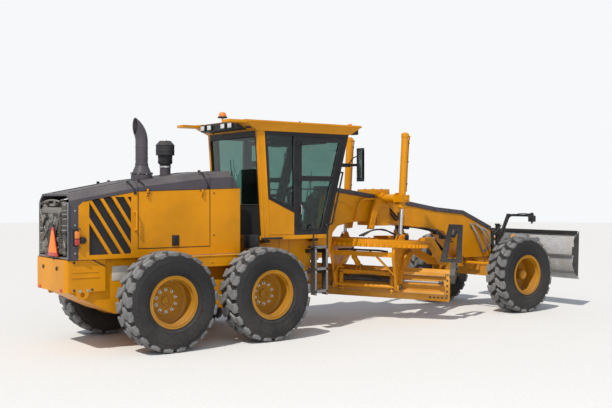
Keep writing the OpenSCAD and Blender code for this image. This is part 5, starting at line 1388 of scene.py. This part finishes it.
def make_drawbar_trim():
    d = Piece("yellow_paint", "black_parts", "rubber_hose")
    # Drive of the circle: gear housing, motor, valve block and ports
    d.add(lathe([(0, 40), (132, 40), (150, 48), (150, 74), (140, 84), (96, 92), (96, 190), (84, 204),
                 (0, 204)], move(600, 0, 55), 44))
    for u, v in around(12, 138):
        d.add(bolt((600 + u, v, 131), Z, 9, 9))
    d.add(lathe([(0, 200), (70, 200), (74, 208), (74, 280), (64, 292), (0, 292)], move(600, 0, 55), 36),
          "black_parts")
    d.add(block((650, -70, 270), (780, 70, 350), 8), "black_parts")
    for y in (-45, 0, 45):
        d.add(rod((778, y, 310), (800, y, 310), 16, 2, 6))
        d.add(rod((715, y, 348), (715, y, 364), 14, 2, 6))
    # Hoses from the drive along the drawbar's right beam
    for k, y in enumerate((-45, 0, 45)):
        d.add(pipe([(796, y, 310), (860, y - 40, 318), (1000, y * 0.6 - 250 + 12 * k, 300 - 6 * k),
                    (1200, -330 + 34 * k, 262 - 8 * k), (1420, -262 + 34 * k, 196),
                    (1560, -190 + 34 * k, 160)], 15, 10), "rubber_hose")
    # Loose hoses over the ring's right side
    for k in range(3):
        d.add(pipe([(-60, -640 + 26 * k, 180), (-240, -600 + 30 * k, 236 + 8 * k),
                    (-430, -520 + 40 * k, 240 - 10 * k), (-560, -400 + 50 * k, 130)], 12), "rubber_hose")
    d.add(block((120, -560, 88), (330, -400, 176), 10), "black_parts")
    for x in (160, 225, 290):
        d.add(rod((x, -480, 172), (x, -480, 214), 20, 3, 12), "black_parts")
    d.add(pipe([(160, -480, 210), (80, -520, 260), (-20, -600, 230), (-60, -640, 180)], 13), "rubber_hose")
    d.add(block((1180, -352, 196), (1224, -240, 296), 6), "black_parts")
    d.add(block((1480, -232, 120), (1524, -100, 200), 6), "black_parts")
    # Bolts of the shoes and the plate
    for a in (50, 130, 230, 310):
        for da, r in ((-4, 858), (4, 858), (-4, 790), (4, 790)):
            t = math.radians(a + da)
            d.add(bolt((r * math.cos(t), r * math.sin(t), 85), Z, 15, 12))
    # Weld lines round the plate
    d.add(lathe([(905, 84), (911, 84), (911, 88), (905, 88)], move(0, 0, 0), 96))
    d.add(lathe([(690, 84), (698, 84), (698, 90), (690, 90)], move(0, 0, 0), 96))
    for s in (-1, 1):
        # Pin ends of the ears, and their keeper plates
        x, z = -9, 153
        d.add(rod((x, s * 786, z), (x, s * 797, z), 26, 3))
        d.add(block((x - 30, s * 778, z + 18), (x + 30, s * 784, z + 32), 2))
    d.turn(RING @ HOME)
    return d.done("drawbar_trim", "drawbar_frame", "yellow_paint")


def band(points, thick):
    """Outline of a strip that lies along points, thick mm below them."""
    path = [Vector((p.x, p.z)) for p in smooth_path([(x, 0, z) for x, z in points], 4)]
    under = []
    for k, p in enumerate(path):
        way = (path[min(k + 1, len(path) - 1)] - path[max(k - 1, 0)]).normalized()
        under.append(p + Vector((way.y, -way.x)) * -thick)
    return [tuple(p) for p in path + under[::-1]]


def make_circle_trim():
    c = Piece("yellow_paint", "black_parts", "rubber_hose")
    for s in (-1, 1):
        # Bolt of the ring over the side arm
        c.add(bolt((-690, s * 520, 40), Z, 15, 11))
        # Hinge bosses, caps and the strengthened edge of each side arm
        c.add(lathe([(38, 0), (74, 0), (80, 5), (80, 20), (72, 25), (38, 25)],
                    frame_of(at(TILT_PIN[0], s * 545, TILT_PIN[1]), Y * s), 36))
        c.add(lathe([(0, 36), (44, 36), (50, 40), (50, 52), (42, 58), (0, 60)],
                    frame_of(at(TILT_PIN[0], s * 545, TILT_PIN[1]), Y * s), 32), "black_parts")
        c.add(plate(band(ARM_EDGE, 16), "y", s * 497, s * 606, 3))
        # Brace from the cross beam to the arm
        p, q = at(-712, s * 235, -195), at(-545, s * 500, -480)
        c.add(slab((95, 22, (q - p).length * 1000), frame_of((p + q) / 2, q - p), 6))
        back = [(-740, -125), (-722, -225), (-602, -398), (-424, -690)]
        c.add(bar([(x, s * 520, z) for x, z in back], 27, 10))
        c.add(lathe([(0, 0), (66, 0), (70, 4), (66, 9), (0, 9)], frame_of(at(-470, s * 545, -260), Y * s),
                    32))
    # Barrel rings of the tip cylinder, and its hoses
    tip = move(*TIP_EYE) @ Matrix.Rotation(TIP_SLOPE, 4, "Y") @ Matrix.Translation((-0.44, 0, 0))
    for low, high in ((50, 78), (314, 344)):
        c.add(lathe(collar(41, 49, low, high), tip @ Matrix.Rotation(math.pi / 2, 4, "Y"), 32))
    c.add(pipe([(-690, -420, -110), (-700, -250, -96), (-704, 0, -98), (-700, 250, -96), (-690, 420, -110)],
               16, 10), "rubber_hose")
    c.add(pipe([(-690, 170, -112), (-668, 184, -70), (-640, 186, -90), (-606, 176, -120), (-590, 158, -140)],
               12), "rubber_hose")
    for y in (-380, -130, 130, 380):
        c.add(slab((44, 30, 34), move(-698, y, -112), 4), "black_parts")
    c.turn(CIRCLE @ HOME)
    return c.done("circle_trim", "turning_circle", "yellow_paint")


def blade_back(z, gap=0.0):
    """X of the blade's back at a height, with a gap behind it."""
    return 257.3 - math.sqrt((474 + gap) ** 2 - (z + 645) ** 2)


def make_blade_trim():
    b = Piece("black_parts", "yellow_paint", "frame_steel")
    # Heads along the cutting edge, front and back
    for k in range(19):
        y = -1290 + k * 162
        for x, z in ((-132, -800), (-126, -845)):
            b.add(bolt((x, y, z), Vector((-1, 0, 0.1)), 13, 9))
    for end, way in ((BLADE_RIGHT, -1), (BLADE_LEFT, 1)):
        # End bit at each end, with its bolts, and the end plate
        lo, hi = (end - 2, end + 330) if way < 0 else (end - 330, end + 2)
        b.add(plate(((-184, -790), (-150, -905), (-128, -905), (-166, -785)), "y", lo, hi, 2), "yellow_paint")
        for k in range(5):
            y = end - way * (40 + 68 * k)
            b.add(bolt((-172, y, -842), Vector((-1, 0, -0.25)), 14, 10))
        outline = [(blade_back(z, 2), z) for z in (-880, -820, -760, -700, -640, -580, -520, -460, -400,
                                                   -384)]
        outline += [(blade_back(z) + 52, z) for z in (-384, -460, -540, -620, -700, -780, -880)]
        b.add(plate(outline, "y", end, end + way * 12, 2), "yellow_paint")
        for z in (-800, -730, -640, -550, -460):
            b.add(bolt((blade_back(z, 2) - 1, end - way * 30, z), Vector((-1, 0, 0)), 12, 9))
    # Rolled top edge and wear strips of the rails
    b.add(rod((blade_back(-385) + 12, -1368, -385), (blade_back(-385) + 12, 1678, -385), 13), "yellow_paint")
    for x, z in ((-262, -460), (-292, -760)):
        b.add(block((x, -1300, z - 26), (x + 6, 1610, z - 20), 1), "frame_steel")
    # Gland end and clamp of the shift rod
    b.add(rod((SHIFT_X, -1278, SHIFT_Z), (SHIFT_X, -1212, SHIFT_Z), 40, 4))
    b.add(bolt((SHIFT_X, -1278, SHIFT_Z), -Y, 20, 14))
    b.turn(CIRCLE @ HOME)
    return b.done("blade_trim", "main_blade", "yellow_paint")


def make_carrier_trim():
    c = Piece("black_parts", "yellow_paint", "rubber_hose")
    # Barrel of the shift cylinder with its heads and ports
    c.add(lathe(collar(34, 47, 0, 54), frame_of(at(SHIFT_X, -482, SHIFT_Z), Y), 32))
    c.add(lathe([(34, 0), (40, 0), (40, 925), (34, 925)], frame_of(at(SHIFT_X, -440, SHIFT_Z), Y), 32))
    c.add(lathe([(0, 0), (28, 0), (32, 4), (32, 14), (26, 18), (0, 18)],
                frame_of(at(SHIFT_X, 600.5, SHIFT_Z), Y), 32))
    for y in (-300, 300):
        c.add(slab((40, 34, 34), move(-334, y, SHIFT_Z), 4))
    c.add(pipe([(-350, -300, SHIFT_Z), (-376, -280, -570), (-384, -180, -530), (-382, 0, -520),
                (-384, 180, -530), (-376, 280, -570), (-350, 300, SHIFT_Z)], 10), "rubber_hose")
    # Clamps and bolts of the slide blocks
    for s in (-1, 1):
        for z in (-440, -490, -740, -790):
            for dy in (-18, 18):
                c.add(bolt((-371, s * 440 + dy, z), -X, 9, 8))
        c.add(block((-376, s * 440 - 26, -700), (-369, s * 440 + 26, -540), 3), "yellow_paint")
        x, y, z = TIP_EYE
        c.add(rod((x, y + s * 49, z), (x, y + s * 60, z), 20, 3))
    c.turn(CIRCLE @ HOME)
    return c.done("carrier_trim", "tip_carrier", "yellow_paint")


def make_guard_trim():
    g = Piece("black_parts", "rubber_hose")
    edge = BLADE_RIGHT
    for y in (-130, -60, 10):
        g.add(bolt((-91, edge + y, 345), -X, 11, 8))
    for y in (-120, 140):
        g.add(bolt((-91, edge + y, -222), -X, 12, 9))
    # Rolled edges of the frame
    for loop in (((179, -250), (-172, -250), (-170, 385), (54, 385)),
                 ((70, -190), (-86, -190), (-96, 300), (12, 300))):
        g.add(bar([(-91, edge + y, z) for y, z in loop + loop[:2]], 5, 6))
    # Canister and cable of the bracket
    g.add(lathe([(0, 0), (40, 0), (46, 6), (46, 110), (38, 120), (0, 120)], move(-20, edge - 62, -385), 28))
    g.add(pipe([(-20, edge - 62, -262), (0, edge - 40, -200), (-40, edge + 20, -160),
                (-70, edge + 110, -150)], 9), "rubber_hose")
    for x, z in ((-150, -520), (-120, -440), (-70, -420)):
        g.add(bolt((x, edge - 90, z), -Y, 12, 9))
    g.turn(CIRCLE @ HOME)
    return g.done("guard_trim", "main_blade", "black_parts")


# Front axle and front blade

def make_axle_trim():
    a = Piece("yellow_paint", "dull_yellow")
    for s in (-1, 1):
        # Caps of the king pins
        for z, way in ((890, Z), (470, -Z)):
            a.add(lathe([(0, 0), (52, 0), (56, 4), (52, 16), (30, 22), (0, 22)],
                        frame_of(at(AXLE_X, s * 740, z), way), 32))
        for dx, dz in ((-60, 620), (60, 620), (-60, 735), (60, 735)):
            a.add(bolt((AXLE_X + dx, s * 620, dz), Y * s, 12, 9))
        # Ribs of the axle beam
        for y in (260, 430):
            a.add(plate(((6186, 612), (6374, 612), (6374, 748), (6186, 748)), "y", s * y - 6, s * y + 6, 2),
                  "dull_yellow")
    # Pivot cap under the leg
    a.add(lathe([(0, 0), (84, 0), (92, 8), (92, 26), (70, 34), (0, 34)], frame_of(at(6138, 0, 800), -X), 36))
    for u, v in around(6, 70):
        a.add(bolt((6110, u, 800 + v), -X, 9, 8))
    return a.done("axle_trim", "front_chassis", "yellow_paint")


def make_tie_trim():
    t = Piece("yellow_paint", "black_parts")
    for s in (-1, 1):
        t.add(lathe([(25, 0), (36, 0), (38, 4), (38, 60), (36, 64), (25, 64)],
                    frame_of(at(5850, s * 640, 858), Y * s), 24))
        t.add(lathe([(0, 0), (34, 0), (38, 4), (38, 14), (0, 16)], frame_of(at(5850, s * 740, 830), -Z), 28),
              "black_parts")
        t.add(bolt((5850, s * 740, 940), Z, 15, 10))
    return t.done("tie_rod_trim", "tie_rod_link", "yellow_paint")


def make_front_mount_trim():
    m = Piece("black_parts", "clear_lamp", "rubber_hose", "frame_steel", "moulded_black")
    for y in (-200, 200):
        for z in (690, 800, 1000, 1200, 1380):
            m.add(bolt((6491, y, z), X, 14, 11))
    for s in (-1, 1):
        for z in (700, 1050):
            for e in (-1, 1):
                m.add(lathe([(22, 0), (38, 0), (41, 3), (38, 9), (22, 9)],
                            frame_of(at(ARM_PIN_X, s * ARM_SIDE + e * 45, z), Y * e), 24), "frame_steel")
    # Heads of the lift cylinder and its hoses
    x = ARM_PIN_X + 322 * math.cos(math.radians(26))
    for low, high in ((1086, 1112), (1330, 1352), (1520, 1552)):
        m.add(lathe(collar(41, 49, low, high), move(x, 0, 0), 32))
    for z, bend in ((1130, 60), (1500, -70)):
        m.add(pipe([(x, -46, z), (x - 20, -106, z + 20), (x - 140, -130, z + bend), (6530, -150, 1330),
                    (6492, -150, 1290)], 12), "rubber_hose")
    # Lamp head, cross bar end and cable of the mast
    m.add(block((7120, -658, 1595), (7186, -518, 1715), 12), "moulded_black")
    m.add(block((7184, -646, 1607), (7191, -530, 1703), 8), "clear_lamp")
    m.add(rod((7152, -588, 1560), (7152, -588, 1770), 18))
    m.add(pipe([(x + 60, -30, 1262), (x + 150, -34, 1360), (7080, -34, 1600), (7140, -60, 1680),
                (7146, -300, 1746), (7146, -560, 1742)], 8), "rubber_hose")
    for y in (-450, -150):
        m.add(bolt((7152, y, 1735), Z, 10, 8))
    return m.done("front_mount_trim", "front_chassis", "black_parts")


def front_back(z, gap=0.0):
    """X of the front blade's back at a height, with a gap behind it."""
    return 8156.2 - math.sqrt((714 + gap) ** 2 - (z - 980) ** 2)


def make_front_blade_trim():
    f = Piece("black_parts", "frame_steel", "bolt_steel", "grey_blade")
    levels = (575, 640, 720, 820, 980, 1140, 1260, 1350, 1425)
    for s in (-1, 1):
        # End plates
        out = [(front_back(z, 26), z) for z in levels] + [(front_back(z) + 26, z) for z in reversed(levels)]
        f.add(plate(out, "y", s * 1299, s * 1312, 2))
    # Rails along the back
    for z, deep, tall, finish in ((1400, 58, 34, "black_parts"), (975, 34, 22, "frame_steel"),
                                  (670, 40, 26, "frame_steel")):
        f.add(block((front_back(z, deep), -1296, z - tall), (front_back(z, -6), 1296, z + tall), 5), finish)
    # Plough bolts of the cutting edge
    for k in range(17):
        y = -1216 + k * 152
        f.add(bolt((7528, y, 650), -X, 14, 11), "bolt_steel")
    return f.done("front_blade_trim", "dozer_blade", "grey_blade")


def make_arm_trim():
    a = Piece("frame_steel", "bolt_steel")
    place = move(ARM_PIN_X, 0, 700) @ Matrix.Rotation(math.radians(-26), 4, "Y") @ HOME
    for s in (-1, 1):
        for x in (0, 600):
            for e in (-1, 1):
                a.add(rod((x, s * ARM_SIDE + e * 49, 0), (x, s * ARM_SIDE + e * 56, 0), 26, 3), "bolt_steel")
        # Stiffening rib along each arm
        for z in (37, -37):
            a.add(bar([(70, s * ARM_SIDE, z), (530, s * ARM_SIDE, z)], 8))
    a.turn(place)
    return a.done("front_arm_trim", "blade_lift_arms", "black_parts")


# Finishes of the CAD nodes

NODE_FINISH = {"yellow_paint": ("rear_frame", "rear_axle", "hood_sides", "hood_door_r", "hood_door_l", "neck",
                                "cab_shell", "saddle", "roof", "lift_barrels", "front_link", "drawbar",
                                "circle", "blade_carrier", "tie_rod"),
               "dull_yellow": ("moldboard", "knuckle_r", "knuckle_l", "front_axle"),
               "rim_paint": [f"rim_{end}_{short}" for end, short, word, side in WHEELS],
               "dark_cover": ("hood_top", "neck_cover", "stacks"),
               "black_parts": ("hood_grilles", "cab_frame", "door_r", "door_l", "console", "mirrors",
                               "front_mount", "front_arms", "blade_guard", "ladders"),
               "engine_grey": ("engine",), "cooler_grey": ("cooler",), "rubber_hose": ("hoses",),
               "rod_steel": ("tip_rod", "lift_rods", "front_lift_rod"), "frame_steel": ("shift_rod",),
               "tinted_glass": ("cab_glass", "door_glass_r", "door_glass_l"), "grey_blade": ("front_blade",),
               "red_lamp": ("rear_lamps",), "amber_lamp": ("roof_lamps",), "seat_cloth": ("seat",),
               "tyre_rubber": [f"tyre_{end}_{short}" for end, short, word, side in WHEELS]}


def dress_nodes():
    for finish, names in NODE_FINISH.items():
        for name in names:
            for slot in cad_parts[name].material_slots:
                slot.material = finish_named(finish)
    left = set(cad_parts) - {n for names in NODE_FINISH.values() for n in names}
    if left:
        raise RuntimeError(f"no finish for {sorted(left)}")


# Settings, operators and panel

class GraderSizes(bpy.types.PropertyGroup):
    """Sizes of the pieces that Blender adds."""
    tyre_radius: bpy.props.FloatProperty(name="Tyre radius", description="Tyre radius over the tread blocks",
                                         default=0.673, unit="LENGTH")
    tyre_half: bpy.props.FloatProperty(name="Tyre half width", description="Half of the tyre's section width",
                                       default=0.2225, unit="LENGTH")


class GraderStage(bpy.types.PropertyGroup):
    """Floor and light."""
    floor_size: bpy.props.FloatProperty(name="Floor radius", description="Radius of the pale floor",
                                        default=60.0, unit="LENGTH")
    sun_power: bpy.props.FloatProperty(name="Sun", description="Strength of the sun", default=3.5)
    fill_power: bpy.props.FloatProperty(name="Fill", description="Power of the soft fill light",
                                        default=420.0, unit="POWER")


class GRADER_OT_finishes(bpy.types.Operator):
    """Give every CAD node its finish"""
    bl_idname = "grader.finishes"
    bl_label = "Finishes"

    def execute(self, context):
        dress_nodes()
        return {"FINISHED"}


class GRADER_OT_tyres(bpy.types.Operator):
    """Make the six tyres with their tread"""
    bl_idname = "grader.tyres"
    bl_label = "Tyres"

    def execute(self, context):
        sizes = context.scene.grader_sizes
        for end, short, word, side in WHEELS:
            tyre(f"tyre_tread_{end}_{short}", end, short, f"wheel_{end}_{word}", side, sizes.tyre_radius,
                 sizes.tyre_half)
        return {"FINISHED"}


class GRADER_OT_rims(bpy.types.Operator):
    """Make the lock rings, bolts and hubs of the wheels"""
    bl_idname = "grader.rims"
    bl_label = "Rims"

    def execute(self, context):
        for end, short, word, side in WHEELS:
            rim_trim(f"rim_trim_{end}_{short}", end, short, f"wheel_{end}_{word}", side)
        return {"FINISHED"}


class GRADER_OT_rear_end(bpy.types.Operator):
    """Make the bumper's trim, the cooler, the engine's fittings and the lamps"""
    bl_idname = "grader.rear_end"
    bl_label = "Rear end"

    def execute(self, context):
        make_bumper_trim()
        make_rear_grille()
        make_engine_trim()
        make_rear_lamps()
        return {"FINISHED"}


class GRADER_OT_hood(bpy.types.Operator):
    """Make the hood's seams, straps, louvres and door trim"""
    bl_idname = "grader.hood"
    bl_label = "Hood"

    def execute(self, context):
        make_hood_trim()
        make_grilles()
        for short, word, side in SIDES:
            make_door_trim(short, word, side)
        return {"FINISHED"}


class GRADER_OT_stacks(bpy.types.Operator):
    """Make the exhaust's and the intake's fittings"""
    bl_idname = "grader.stacks"
    bl_label = "Stacks"

    def execute(self, context):
        make_stacks()
        return {"FINISHED"}


class GRADER_OT_cab(bpy.types.Operator):
    """Make the cab's seals, rails, wipers, roof and doors"""
    bl_idname = "grader.cab"
    bl_label = "Cab"

    def execute(self, context):
        make_cab_trim()
        make_roof_trim()
        make_beacon()
        for short, word, side in SIDES:
            make_cab_door_trim(short, word, side)
        return {"FINISHED"}


class GRADER_OT_inside(bpy.types.Operator):
    """Make the driver's place"""
    bl_idname = "grader.inside"
    bl_label = "Cab inside"

    def execute(self, context):
        make_cab_inside()
        make_seat()
        return {"FINISHED"}


class GRADER_OT_steps(bpy.types.Operator):
    """Make the treads, rails and mirror heads"""
    bl_idname = "grader.steps"
    bl_label = "Steps and mirrors"

    def execute(self, context):
        make_steps()
        make_mirrors()
        return {"FINISHED"}


class GRADER_OT_neck(bpy.types.Operator):
    """Make the trim of the neck, the saddle and the lift cylinders"""
    bl_idname = "grader.neck"
    bl_label = "Neck and saddle"

    def execute(self, context):
        make_neck_trim()
        make_saddle_trim()
        make_lift_trim()
        return {"FINISHED"}


class GRADER_OT_blade(bpy.types.Operator):
    """Make the trim of the drawbar, the circle and the blade"""
    bl_idname = "grader.blade"
    bl_label = "Circle and blade"

    def execute(self, context):
        make_drawbar_trim()
        make_circle_trim()
        make_blade_trim()
        make_carrier_trim()
        make_guard_trim()
        return {"FINISHED"}


class GRADER_OT_front(bpy.types.Operator):
    """Make the trim of the front axle, the front arms and the front blade"""
    bl_idname = "grader.front"
    bl_label = "Front end"

    def execute(self, context):
        make_axle_trim()
        make_tie_trim()
        make_front_mount_trim()
        make_front_blade_trim()
        make_arm_trim()
        return {"FINISHED"}


class GRADER_OT_stage(bpy.types.Operator):
    """Make the floor, the light and the camera"""
    bl_idname = "grader.stage"
    bl_label = "Stage"

    def execute(self, context):
        make_stage(context.scene.grader_stage)
        make_camera()
        return {"FINISHED"}


STEPS = (GRADER_OT_finishes, GRADER_OT_tyres, GRADER_OT_rims, GRADER_OT_rear_end, GRADER_OT_hood,
         GRADER_OT_stacks, GRADER_OT_cab, GRADER_OT_inside, GRADER_OT_steps, GRADER_OT_neck, GRADER_OT_blade,
         GRADER_OT_front, GRADER_OT_stage)


class GRADER_PT_panel(bpy.types.Panel):
    """Lists the grader's pieces and settings"""
    bl_idname = "GRADER_PT_panel"
    bl_label = "Motor grader"
    bl_space_type = "VIEW_3D"
    bl_region_type = "UI"
    bl_category = "Grader"

    def draw(self, context):
        for group in (context.scene.grader_sizes, context.scene.grader_stage):
            for key in group.__annotations__:
                self.layout.prop(group, key)
        for step in STEPS:
            self.layout.operator(step.bl_idname)


CLASSES = (GraderSizes, GraderStage, *STEPS, GRADER_PT_panel)


def register():
    for c in CLASSES:
        bpy.utils.register_class(c)
    bpy.types.Scene.grader_sizes = bpy.props.PointerProperty(type=GraderSizes)
    bpy.types.Scene.grader_stage = bpy.props.PointerProperty(type=GraderStage)


def unregister():
    del bpy.types.Scene.grader_stage
    del bpy.types.Scene.grader_sizes
    for c in reversed(CLASSES):
        bpy.utils.unregister_class(c)


def main():
    register()
    for step in STEPS:
        group, call = step.bl_idname.split(".")
        getattr(getattr(bpy.ops, group), call)()


if __name__ == "__main__":
    main()
